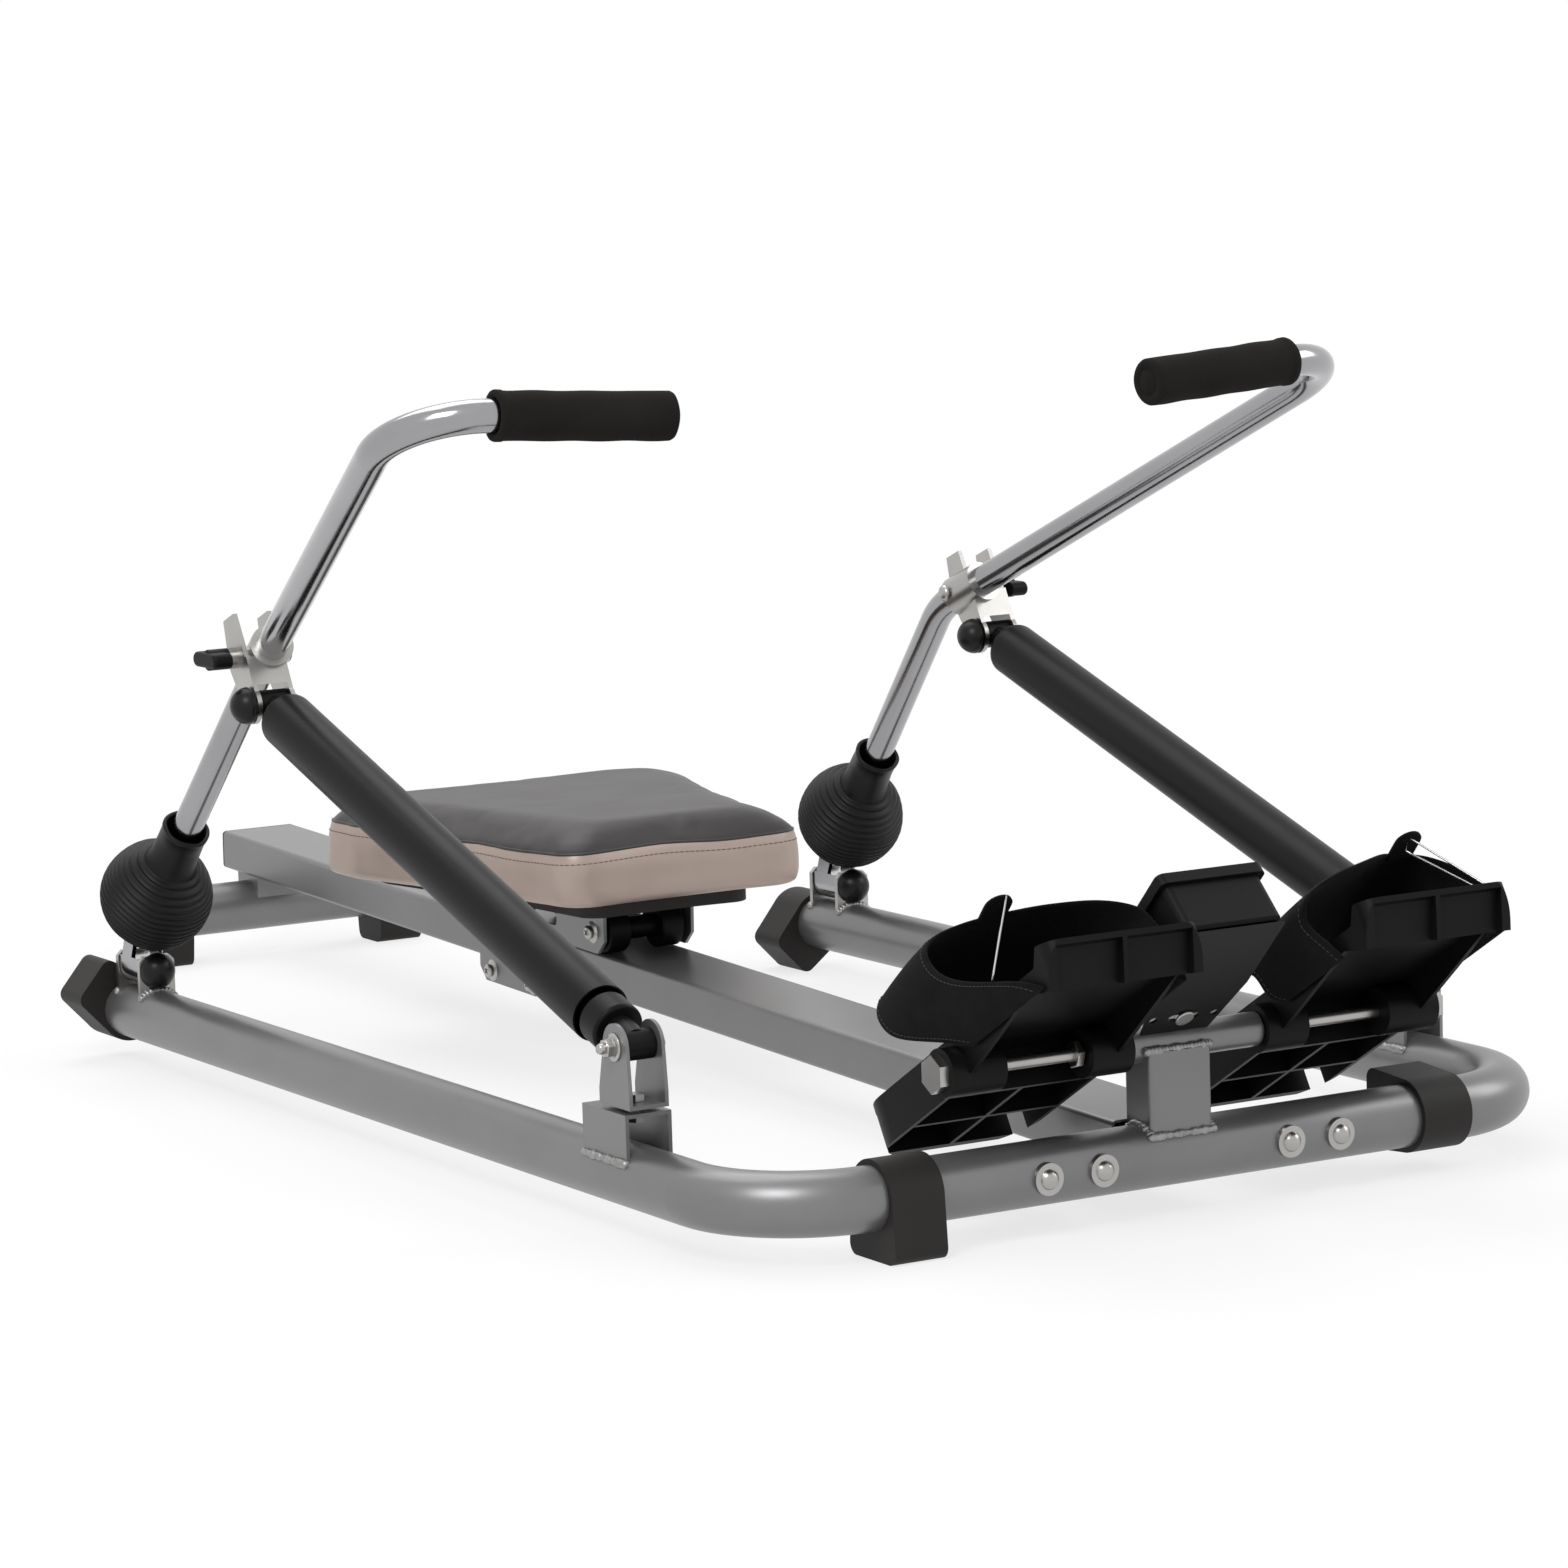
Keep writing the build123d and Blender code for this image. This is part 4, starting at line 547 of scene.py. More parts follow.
def tube_along(name, places, radius, material, sides=10):
    # A closed round cord through the given places
    points = []
    rings = []
    for number, place in enumerate(places):
        ahead = (places[(number + 1) % len(places)] - places[number - 1]).normalized()
        out = ahead.cross(Vector((0, 0, 1))).normalized()
        up = out.cross(ahead)
        rings.append(range(len(points), len(points) + sides))
        for side in range(sides):
            points.append(around(place, out, up, 2 * math.pi * side / sides, radius))
    faces = []
    for number, ring in enumerate(rings):
        faces += bridge(ring, rings[(number + 1) % len(rings)])
    cord = add_mesh(name, points, faces, material)
    face_outward(cord)
    smooth(cord)
    return cord


# Small things repeated along a line

STITCH_SIDES = 8
BEAD_SEGMENTS = 12
BEAD_RINGS = 8
REPEAT_SEED = 0


def repeat_tree(name, kind, material, values):
    # Instances of one small shape spaced along a line, turned to follow it and scaled between two limits
    tree = bpy.data.node_groups.new(name, "GeometryNodeTree")
    tree.interface.new_socket("Geometry", in_out="INPUT", socket_type="NodeSocketGeometry")
    for label, value in values.items():
        tree.interface.new_socket(label, in_out="INPUT", socket_type="NodeSocketFloat").default_value = value
    tree.interface.new_socket("Geometry", in_out="OUTPUT", socket_type="NodeSocketGeometry")
    add = tree.nodes.new
    link = tree.links.new
    given = add("NodeGroupInput")
    result = add("NodeGroupOutput")
    line = add("GeometryNodeMeshToCurve")
    spaced = add("GeometryNodeResampleCurve")
    spaced.mode = "LENGTH"
    link(given.outputs["Geometry"], line.inputs["Mesh"])
    link(line.outputs["Curve"], spaced.inputs["Curve"])
    link(given.outputs["Pitch"], spaced.inputs["Length"])
    if kind == "stitch":
        shape = add("GeometryNodeMeshCylinder")
        shape.inputs["Vertices"].default_value = STITCH_SIDES
        link(given.outputs["Length"], shape.inputs["Depth"])
    else:
        shape = add("GeometryNodeMeshUVSphere")
        shape.inputs["Segments"].default_value = BEAD_SEGMENTS
        shape.inputs["Rings"].default_value = BEAD_RINGS
    link(given.outputs["Radius"], shape.inputs["Radius"])
    along = add("GeometryNodeInputTangent")
    turn = add("FunctionNodeAlignRotationToVector")
    turn.axis = "Z"
    link(along.outputs["Tangent"], turn.inputs["Vector"])
    placed = add("GeometryNodeInstanceOnPoints")
    link(spaced.outputs["Curve"], placed.inputs["Points"])
    link(shape.outputs["Mesh"], placed.inputs["Instance"])
    link(turn.outputs["Rotation"], placed.inputs["Rotation"])
    chance = add("FunctionNodeRandomValue")
    chance.data_type = "FLOAT"
    chance.inputs["Seed"].default_value = REPEAT_SEED
    plain = {socket.name: socket for socket in chance.inputs if socket.type == "VALUE"}
    link(given.outputs["Least"], plain["Min"])
    link(given.outputs["Most"], plain["Max"])
    link(next(socket for socket in chance.outputs if socket.type == "VALUE"), placed.inputs["Scale"])
    real = add("GeometryNodeRealizeInstances")
    dressed = add("GeometryNodeSetMaterial")
    dressed.inputs["Material"].default_value = material
    link(placed.outputs["Instances"], real.inputs["Geometry"])
    link(real.outputs["Geometry"], dressed.inputs["Geometry"])
    link(dressed.outputs["Geometry"], result.inputs["Geometry"])
    return tree


def repeated(name, places, tree, closed=True):
    count = len(places)
    mesh = bpy.data.meshes.new(name)
    edges = [(place, (place + 1) % count) for place in range(count if closed else count - 1)]
    mesh.from_pydata([tuple(place) for place in places], edges, [])
    line = bpy.data.objects.new(name, mesh)
    bpy.context.scene.collection.objects.link(line)
    line.modifiers.new("repeat", "NODES").node_group = tree
    made_plain(line)
    smooth(line)
    return line


SEAT_STITCHES = repeat_tree("seat_stitches", "stitch", THREAD, {
    "Pitch": 0.0052, "Length": 0.0036, "Radius": 0.00045, "Least": 0.95, "Most": 1.0})
STRAP_STITCHES = repeat_tree("strap_stitches", "stitch", DARK_THREAD, {
    "Pitch": 0.0045, "Length": 0.003, "Radius": 0.00045, "Least": 0.95, "Most": 1.0})
BEADS = repeat_tree("weld_beads", "bead", WELD, {
    "Pitch": 0.0032, "Length": 0.0, "Radius": 0.0038, "Least": 0.7, "Most": 1.15})


# Seat cushion: the plain form puffed by a short cloth simulation, then sewn

SEAT_VOXEL = 0.005
SEAT_PRESSURE = 4.0
SEAT_FRAMES = 20
SEAT_PUFF = 0.006
PUFF_RISE = 0.02
SEAT_SOFTENING = 5

# The seam's height above the underside, and its waves: count round the seat, size and shift
SEAM_ABOVE = 0.0475
SEAM_WAVES = ((3, 0.0014, 0.4), (7, 0.0009, 1.9), (11, 0.0004, 0.7))
STITCH_DROP = 0.0085
STITCH_LIFT = 0.0001
WELT_RADIUS = 0.0013
WELT_SINK = 0.0002

PANEL_DARK = (0.030, 0.027, 0.0265)
PANEL_LIGHT = (0.047, 0.042, 0.041)
PEARL_DARK = (0.40, 0.315, 0.27)
PEARL_LIGHT = (0.48, 0.39, 0.34)
LEATHER_SHARE = 0.12


def puffed_cushion():
    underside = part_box("seat_cushion")[0].z
    cushion = bpy.data.objects.new("cushion", nodes["seat_cushion"].data.copy())
    bpy.context.scene.collection.objects.link(cushion)
    cushion.data.materials.clear()
    remesh = cushion.modifiers.new("remesh", "REMESH")
    remesh.mode = "VOXEL"
    remesh.voxel_size = SEAT_VOXEL
    made_plain(cushion)
    rest = points_of(cushion.data)
    cloth = cushion.modifiers.new("cloth", "CLOTH")
    cloth.settings.use_pressure = True
    cloth.settings.uniform_pressure_force = SEAT_PRESSURE
    cloth.settings.effector_weights.gravity = 0.0
    cloth.point_cache.frame_start = 1
    cloth.point_cache.frame_end = SEAT_FRAMES
    for step in range(1, SEAT_FRAMES + 1):
        bpy.context.scene.frame_set(step)
    made_plain(cushion)
    bpy.context.scene.frame_set(1)
    move = points_of(cushion.data) - rest
    size = np.linalg.norm(move, axis=1, keepdims=True)
    rise = np.clip((rest[:, 2:3] - underside) / PUFF_RISE, 0, 1)
    move *= np.minimum(1.0, SEAT_PUFF / np.maximum(size, LEAST_LENGTH)) * rise
    placed = rest + move
    placed[:, 2] = np.maximum(placed[:, 2], underside)
    cushion.data.vertices.foreach_set("co", placed.ravel())
    soften = cushion.modifiers.new("soften", "SMOOTH")
    soften.iterations = SEAT_SOFTENING
    subdivide(cushion)
    made_plain(cushion)
    smooth(cushion)
    return cushion


def seam_height(angle):
    waves = sum(size * math.sin(count * angle + shift) for count, size, shift in SEAM_WAVES)
    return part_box("seat_cushion")[0].z + SEAM_ABOVE + waves


def path_round(cushion, drop, lift):
    # A place at each degree round the cushion, below the seam by the drop, found by looking in from outside
    surface = surface_of(cushion.data)
    low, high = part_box("seat_cushion")
    centre = (low + high) / 2
    places = []
    for degree in range(360):
        angle = math.radians(degree)
        outward = Vector((math.cos(angle), math.sin(angle), 0))
        start = Vector((centre.x, centre.y, seam_height(angle) - drop)) + outward
        place, normal = surface.ray_cast(start, -outward)[:2]
        places.append(place + normal * lift)
    return places


def seat_vinyl():
    # A dark panel above the wavy seam and pearl sides below it
    material, tree, shader = new_material("seat_vinyl")
    place = own_place(tree)
    low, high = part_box("seat_cushion")
    centre = (low + high) / 2
    moved = tree.nodes.new("ShaderNodeVectorMath")
    moved.operation = "SUBTRACT"
    moved.inputs[1].default_value = (centre.x, centre.y, low.z + SEAM_ABOVE)
    tree.links.new(place, moved.inputs[0])
    split = tree.nodes.new("ShaderNodeSeparateXYZ")
    tree.links.new(moved.outputs["Vector"], split.inputs["Vector"])
    angle = maths(tree, "ARCTAN2", split.outputs["Y"], split.outputs["X"])
    height = split.outputs["Z"]
    for count, size, shift in SEAM_WAVES:
        place_in_wave = maths(tree, "ADD", maths(tree, "MULTIPLY", angle, count), shift)
        wave = maths(tree, "MULTIPLY", maths(tree, "SINE", place_in_wave), size)
        height = maths(tree, "SUBTRACT", height, wave)
    above = maths(tree, "GREATER_THAN", height, 0)
    clouds = noise(tree, place, scale=14.0, detail=5.0)
    leather = noise(tree, place, scale=420.0, detail=5.0)
    creases = noise(tree, place, scale=26.0, detail=3.0)
    panel = ramp(tree, clouds, PANEL_DARK, PANEL_LIGHT, start=0.25, end=0.75)
    pearl = ramp(tree, clouds, PEARL_DARK, PEARL_LIGHT, start=0.25, end=0.75)
    tree.links.new(one_or_other(tree, above, pearl, panel), shader.inputs["Base Color"])
    tree.links.new(map_range(tree, above, low=0.35, high=0.0), shader.inputs["Metallic"])
    tree.links.new(map_range(tree, clouds, low=0.36, high=0.48), shader.inputs["Roughness"])
    shader.inputs["Specular IOR Level"].default_value = 0.3
    relief = maths(tree, "ADD", maths(tree, "MULTIPLY", leather, LEATHER_SHARE), creases)
    bump(tree, shader, relief, strength=0.45, distance=0.0012)
    return material


def sew_seat():
    cushion = puffed_cushion()
    cushion.data.materials.append(seat_vinyl())
    welt = tube_along("seat_welt", path_round(cushion, 0.0, -WELT_SINK), WELT_RADIUS, WELT)
    stitches = repeated("seat_stitches", path_round(cushion, STITCH_DROP, STITCH_LIFT), SEAT_STITCHES)
    for piece in (cushion, welt, stitches):
        ride_on(piece, "seat")
    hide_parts("seat_cushion")


# Bellows: ribbed rubber between the yoke and the oar

# The oar's knee from its pivot: outward, back and up
KNEE_FROM_PIVOT = (-0.0185, -0.219, 0.2376)
BELLOWS_PLACE = 0.027
BELLOWS_RADIUS = 0.0503
BELLOWS_WALL = 0.0026
BELLOWS_WOBBLE = 0.0006
RIB_COUNT = 15
RIB_STEPS = 8
RIB_LOW = -0.036
RIB_HIGH = 0.044
RIB_DEPTH = 0.0028
GROOVE_POWER = 3

# Outlines along the bellows' axis: distance from the middle of the globe, and radius
MOUTH_LIP = [(-0.043, 0.0262), (-0.0425, 0.027), (-0.0405, 0.0285), (-0.0385, 0.0312)]
NECK_OUTSIDE = [(RIB_HIGH, 0.0236), (0.0455, 0.0222), (0.049, 0.0212), (0.070, 0.0205), (0.0845, 0.0203),
                (0.0855, 0.0212), (0.0885, 0.0214), (0.0897, 0.0208), (0.09, 0.0198)]
NECK_BORE = OAR_RADIUS + 0.0002
NECK_INSIDE = [(0.0897, 0.0184), (0.088, 0.0177), (0.062, 0.0172), (0.060, 0.0165), (0.0598, NECK_BORE),
               (0.046, NECK_BORE), (0.0435, 0.0172), (0.040, 0.0205)]
MOUTH_INSIDE = [(-0.0405, 0.0248), (-0.0428, 0.0242)]
LINING_TOP = 0.040
LINING_LENGTH = 0.0785
LINING_STEPS = 14
LINING_NECK = 0.0205
LINING_SPREAD = 0.004


def lower_oar_axis(sign):
    across, back, up = KNEE_FROM_PIVOT
    return Vector((sign * across, back, up)).normalized()


def bellows_profile():
    ribs = []
    pitch = (RIB_HIGH - RIB_LOW) / RIB_COUNT
    for rib in range(RIB_COUNT):
        for step in range(RIB_STEPS):
            share = step / RIB_STEPS
            along = RIB_LOW + (rib + share) * pitch
            groove = abs(math.cos(math.pi * share)) ** GROOVE_POWER
            ribs.append((along, math.sqrt(BELLOWS_RADIUS ** 2 - along ** 2) - RIB_DEPTH * groove))
    globe = BELLOWS_RADIUS - RIB_DEPTH - BELLOWS_WALL
    lining = []
    for step in range(1, LINING_STEPS):
        along = LINING_TOP - LINING_LENGTH * step / LINING_STEPS
        lining.append((along, min(LINING_NECK + LINING_SPREAD * step, math.sqrt(globe ** 2 - along ** 2))))
    return MOUTH_LIP + ribs + NECK_OUTSIDE + NECK_INSIDE + lining + MOUTH_INSIDE


def dress_bellows():
    for side, sign in SIDES.items():
        pivot = joint_place("oar_pull_" + side)
        axis = lower_oar_axis(sign)
        middle = pivot + axis * BELLOWS_PLACE
        bellows = turned("rubber_bellows_" + side, middle, axis, bellows_profile(), RUBBER, segments=96,
                         wobble=BELLOWS_WOBBLE, phase=sign)
        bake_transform(bellows)
        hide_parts("bellows_" + side)


# Foam grips, with a ringed end and a lip at the inner end

# Outward from the side tube, back from the front tube and up from both
OAR_TIP = (-0.1355, 0.338, 0.563)
OAR_ELBOW = (0.0925, 0.358, 0.576)

# Outlines along the grip: distance from the oar's tip, and radius
GRIP_END = [(-0.004, 0.0), (-0.004, 0.0095), (-0.0032, 0.0102), (-0.0032, 0.0118), (-0.004, 0.0125),
            (-0.004, 0.0168), (-0.0031, 0.0186), (-0.0012, 0.0196)]
GRIP_LIP = [(0.1405, 0.0197), (0.1412, 0.0203), (0.1455, 0.0204), (0.147, 0.0198), (0.147, 0.0165),
            (0.1462, 0.0142), (0.1445, 0.0137)]
GRIP_BORE = [(0.001, 0.0137), (0.001, 0.0)]
FOAM_START = -0.0012
FOAM_LENGTH = 0.1412
FOAM_STEPS = 30
FOAM_RADIUS = 0.01965
FOAM_SWELL = 0.0002
FOAM_SWELLS = 130
FOAM_WOBBLE = 0.0003


def oar_place(sign, place):
    outward, back, up = place
    return Vector((sign * (HALF_TRACK + outward), FRONT_Y + back, AXIS_Z + up))


def dress_grips():
    foam = []
    for step in range(1, FOAM_STEPS):
        along = FOAM_START + FOAM_LENGTH * step / FOAM_STEPS
        foam.append((along, FOAM_RADIUS + FOAM_SWELL * math.sin(along * FOAM_SWELLS)))
    for side, sign in SIDES.items():
        tip = oar_place(sign, OAR_TIP)
        elbow = oar_place(sign, OAR_ELBOW)
        grip = turned("foam_grip_" + side, tip, elbow - tip, GRIP_END + foam + GRIP_LIP + GRIP_BORE, FOAM,
                      segments=72, wobble=FOAM_WOBBLE, phase=sign)
        ride_on(grip, "oar_" + side)
        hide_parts("grip_" + side)


# Foot straps: a wide felted band arched over each pedal

PEDAL_PITCH = math.radians(30)
TOE = Vector((0, -math.cos(PEDAL_PITCH), math.sin(PEDAL_PITCH)))
SOLE_UP = Vector((0, math.sin(PEDAL_PITCH), math.cos(PEDAL_PITCH)))

# Ribs of the band from its left foot to its right one, in metres from the pedal's pivot:
# across the pedal, height of the front edge, height of the rear edge, rear edge, front edge
STRAP_RIBS = {
    "left": (
        (-0.0700, 0.006, 0.006, 0.036, 0.150),
        (-0.0765, 0.020, 0.020, 0.010, 0.131),
        (-0.0825, 0.045, 0.045, -0.042, 0.072),
        (-0.0840, 0.065, 0.065, -0.057, 0.042),
        (-0.0780, 0.087, 0.080, -0.058, 0.026),
        (-0.0610, 0.100, 0.080, -0.062, 0.019),
        (-0.0340, 0.107, 0.074, -0.066, 0.022),
        (0.0000, 0.109, 0.067, -0.069, 0.031),
        (0.0300, 0.106, 0.062, -0.070, 0.047),
        (0.0530, 0.095, 0.058, -0.066, 0.074),
        (0.0665, 0.078, 0.052, -0.056, 0.098),
        (0.0690, 0.060, 0.042, -0.044, 0.110),
        (0.0700, 0.040, 0.030, -0.026, 0.118),
        (0.0700, 0.020, 0.016, 0.004, 0.122),
        (0.0700, 0.006, 0.006, 0.040, 0.124),
    ),
    "right": (
        (-0.0700, 0.006, 0.006, 0.036, 0.124),
        (-0.0740, 0.020, 0.016, 0.022, 0.118),
        (-0.0770, 0.045, 0.036, 0.016, 0.103),
        (-0.0720, 0.063, 0.052, -0.012, 0.108),
        (-0.0450, 0.076, 0.064, -0.040, 0.110),
        (0.0000, 0.090, 0.070, -0.058, 0.096),
        (0.0350, 0.102, 0.074, -0.062, 0.074),
        (0.0580, 0.107, 0.078, -0.060, 0.058),
        (0.0750, 0.098, 0.072, -0.056, 0.072),
        (0.0840, 0.076, 0.058, -0.050, 0.096),
        (0.0850, 0.050, 0.042, -0.028, 0.118),
        (0.0790, 0.022, 0.020, 0.008, 0.138),
        (0.0700, 0.006, 0.006, 0.036, 0.146),
    ),
}
STRAP_THICKNESS = 0.003
STRAP_ROWS = 72
STRAP_COLUMNS = 22
STRAP_WAVE = 0.0012
STRAP_WAVE_OVER = 9
STRAP_WAVE_ACROSS = 5
STRAP_CROWN = 0.006
STRAP_CROWN_POWER = 4
STRAP_BULGE = 0.04
BULGE_RISE = 0.04
SEAM_STEPS = 90
SEAM_START = 0.03
SEAM_LENGTH = 0.94
SEAM_LIFT = 0.0001
NEARBY_SHARE = 0.01
STRAP_SEAMS = {"rear": 0.07, "front": 0.93}
FOOT_MIDDLE = (0, 0.04, 0.03)
FELT_DARK = grey(0.0035)
FELT_LIGHT = grey(0.0065)


def strap_felt():
    material, tree, shader = new_material("strap_felt")
    place = own_place(tree)
    fuzz = noise(tree, place, scale=1500.0, detail=4.0)
    clouds = noise(tree, place, scale=40.0, detail=3.0)
    color = ramp(tree, clouds, FELT_DARK, FELT_LIGHT, start=0.3, end=0.7)
    tree.links.new(color, shader.inputs["Base Color"])
    tree.links.new(map_range(tree, fuzz, low=0.85, high=1.0), shader.inputs["Roughness"])
    shader.inputs["Specular IOR Level"].default_value = 0.08
    shader.inputs["Sheen Weight"].default_value = 0.03
    bump(tree, shader, fuzz, strength=0.8, distance=0.0006)
    return material


FELT = strap_felt()


def pedal_place(side, place):
    # A place given across the pedal, towards the toe and up from the sole
    across, ahead, up = place
    return joint_place("pedal_swing_" + side) + ACROSS * across + TOE * ahead + SOLE_UP * up


def curve_through(rows, share):
    # A smooth curve through rows of numbers, at a share of the whole
    place = share * (len(rows) - 1)
    start = min(int(place), len(rows) - 2)
    part = place - start
    near = [rows[max(start - 1, 0)], rows[start], rows[start + 1], rows[min(start + 2, len(rows) - 1)]]
    values = []
    for before, first, last, after in zip(*near):
        slope = last - before
        bend = 2 * before - 5 * first + 4 * last - after
        twist = 3 * first - before - 3 * last + after
        values.append(first + (slope * part + bend * part ** 2 + twist * part ** 3) / 2)
    return values


def band_place(side, share, across):
    # A place on the band, at a share of the way over the foot and of the way from rear to front edge
    x, front_height, rear_height, rear, front = curve_through(STRAP_RIBS[side], share)
    height = rear_height + (front_height - rear_height) * across
    over_arch = math.sin(math.pi * share)
    over_width = math.sin(math.pi * across)
    wave = STRAP_WAVE * math.sin(STRAP_WAVE_OVER * share + STRAP_WAVE_ACROSS * across) * over_arch
    crown = STRAP_CROWN * over_width * over_arch ** STRAP_CROWN_POWER
    bulge = 1 + STRAP_BULGE * over_width * min(1.0, height / BULGE_RISE)
    return pedal_place(side, (x * bulge, rear + (front - rear) * across, height + wave + crown))


def strap_band(side):
    points = []
    for row in range(STRAP_ROWS + 1):
        for column in range(STRAP_COLUMNS + 1):
            points.append(band_place(side, row / STRAP_ROWS, column / STRAP_COLUMNS))
    faces = []
    for row in range(STRAP_ROWS):
        for column in range(STRAP_COLUMNS):
            first = row * (STRAP_COLUMNS + 1) + column
            above = first + STRAP_COLUMNS + 1
            faces.append((first, first + 1, above + 1, above))
    band = add_mesh("felt_strap_" + side, points, faces, FELT)
    thick = band.modifiers.new("thick", "SOLIDIFY")
    thick.thickness = STRAP_THICKNESS
    thick.offset = 0.0
    subdivide(band)
    made_plain(band)
    face_outward(band)
    smooth(band)
    return band


def seam_places(side, across):
    # Places on the outer face of the band, along one of its edges
    middle = pedal_place(side, FOOT_MIDDLE)
    places = []
    for step in range(SEAM_STEPS + 1):
        share = SEAM_START + SEAM_LENGTH * step / SEAM_STEPS
        here = band_place(side, share, across)
        ahead = band_place(side, share + NEARBY_SHARE, across) - here
        beside = band_place(side, share, across + NEARBY_SHARE) - here
        normal = ahead.cross(beside).normalized()
        if normal.dot(here - middle) < 0:
            normal = -normal
        places.append(here + normal * (STRAP_THICKNESS / 2 + SEAM_LIFT))
    return places


def dress_straps():
    for side in SIDES:
        band = strap_band(side)
        ride_on(band, "pedal_" + side)
        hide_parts("strap_" + side)
        for edge, across in STRAP_SEAMS.items():
            name = "strap_stitches_" + edge + "_" + side
            stitches = repeated(name, seam_places(side, across), STRAP_STITCHES, closed=False)
            ride_on(stitches, "pedal_" + side)


# A wire ring held by a webbing tab on each strap

# Upper and lower end of each ring: across the pedal, towards the toe and up from the sole
RING_ENDS = {
    "left": ((-0.010, 0.044, 0.1115), (-0.0790, 0.103, 0.0360)),
    "right": ((0.058, 0.078, 0.1060), (0.0845, 0.116, 0.0500)),
}
RING_WIRE = 0.0008
RING_TOP_HALF = 0.006
RING_LOW_HALF = 0.0028
RING_TOP_SHARE = 0.3
RING_STEPS = 12
TAB_PLACE = {"left": (-0.012, 0.030, 0.1105), "right": (0.059, 0.070, 0.1065)}
TAB_HALF_WIDTH = 0.012
TAB_REACH = 0.022
TAB_BACK_SHARE = 0.5
TAB_FRONT_SHARE = 0.35
TAB_ROUND_SHARE = 0.9
TAB_STEPS = 12
TAB_THICKNESS = 0.004
TAB_RISE = 0.35

# Levels through the tab: share of its thickness, and share of its outline
TAB_LEVEL_SHARES = ((-0.5, 0.9), (-0.25, 1.0), (0.25, 1.0), (0.5, 0.9))


def ring_places(top, low, beside):
    # A long loop with rounded ends, drawn in the plane of its length and the side way
    length = (low - top).length
    along = (low - top).normalized()

    def flank(share, way):
        half = RING_LOW_HALF + (RING_TOP_HALF - RING_LOW_HALF) * share
        return low - along * (length * share) + beside * (way * half)

    angles = [math.pi * step / RING_STEPS for step in range(RING_STEPS + 1)]
    shares = [step / RING_STEPS for step in range(1, RING_STEPS)]
    places = [around(low, beside, along, angle, RING_LOW_HALF) for angle in angles]
    places += [flank(share, -1) for share in shares]
    places += [around(top, -beside, -along * RING_TOP_SHARE, angle, RING_TOP_HALF) for angle in angles]
    places += [flank(share, 1) for share in reversed(shares)]
    return places


def webbing_tab(name, place, ahead, beside):
    # A folded tongue with a rounded end
    lift = beside.cross(ahead).normalized()
    back = -TAB_REACH * TAB_BACK_SHARE
    front = TAB_REACH * TAB_FRONT_SHARE
    outline = [(-TAB_HALF_WIDTH, back), (-TAB_HALF_WIDTH, front)]
    for step in range(1, TAB_STEPS):
        angle = math.pi * (1 - step / TAB_STEPS)
        outline.append((TAB_HALF_WIDTH * math.cos(angle),
                        front + TAB_HALF_WIDTH * TAB_ROUND_SHARE * math.sin(angle)))
    outline += [(TAB_HALF_WIDTH, front), (TAB_HALF_WIDTH, back)]
    points = []
    rings = []
    for level, shrink in TAB_LEVEL_SHARES:
        rings.append(range(len(points), len(points) + len(outline)))
        middle = place + lift * (level * TAB_THICKNESS)
        for x, y in outline:
            points.append(middle + beside * (x * shrink) + ahead * (y * shrink))
    faces = [tuple(reversed(rings[0])), tuple(rings[-1])]
    for low, high in zip(rings, rings[1:]):
        faces += bridge(low, high)
    tab = add_mesh(name, points, faces, FELT)
    face_outward(tab)
    return tab


def add_rings():
    for side in SIDES:
        top, low = (pedal_place(side, end) for end in RING_ENDS[side])
        along = (low - top).normalized()
        beside = (ACROSS - along * ACROSS.dot(along)).cross(along).normalized()
        ring = tube_along("strap_ring_" + side, ring_places(top, low, beside), RING_WIRE, CHROME)
        ride_on(ring, "pedal_" + side)
        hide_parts("buckle_" + side)
        ahead = (TOE + SOLE_UP * TAB_RISE).normalized()
        tab = webbing_tab("ring_tab_" + side, pedal_place(side, TAB_PLACE[side]), ahead, ACROSS)
        ride_on(tab, "pedal_" + side)


# Weld beads round the post, under the damper brackets and at the ends of the oar brackets

WELD_STEPS = 24
POST_HALF_WIDTH = 0.0285
POST_HALF_DEPTH = 0.018
POST_WELD_DEPTH = 0.0145
POST_WELD_Z = 0.1302
DAMPER_WELD_X = 0.0203
DAMPER_WELD_SINK = 0.0005
DAMPER_WELD_INSET = 0.002
OAR_WELD_HALF = 0.016


def tube_top(x, y, across):
    # A place on the upper half of a tube, across from the line over its axis
    return Vector((x, y, AXIS_Z + math.sqrt(TUBE_RADIUS ** 2 - across ** 2)))


def post_foot():
    # The line round the foot of the post where it stands on the front tube
    turns = ((-1, -1), (1, -1), (1, 1), (-1, 1))
    corners = [Vector((x * POST_HALF_WIDTH, y * POST_HALF_DEPTH)) for x, y in turns]
    places = []
    for first, last in zip(corners, corners[1:] + corners[:1]):
        for x, depth in between(first, last, WELD_STEPS):
            places.append(tube_top(x, FRONT_Y + depth, depth))
    return places


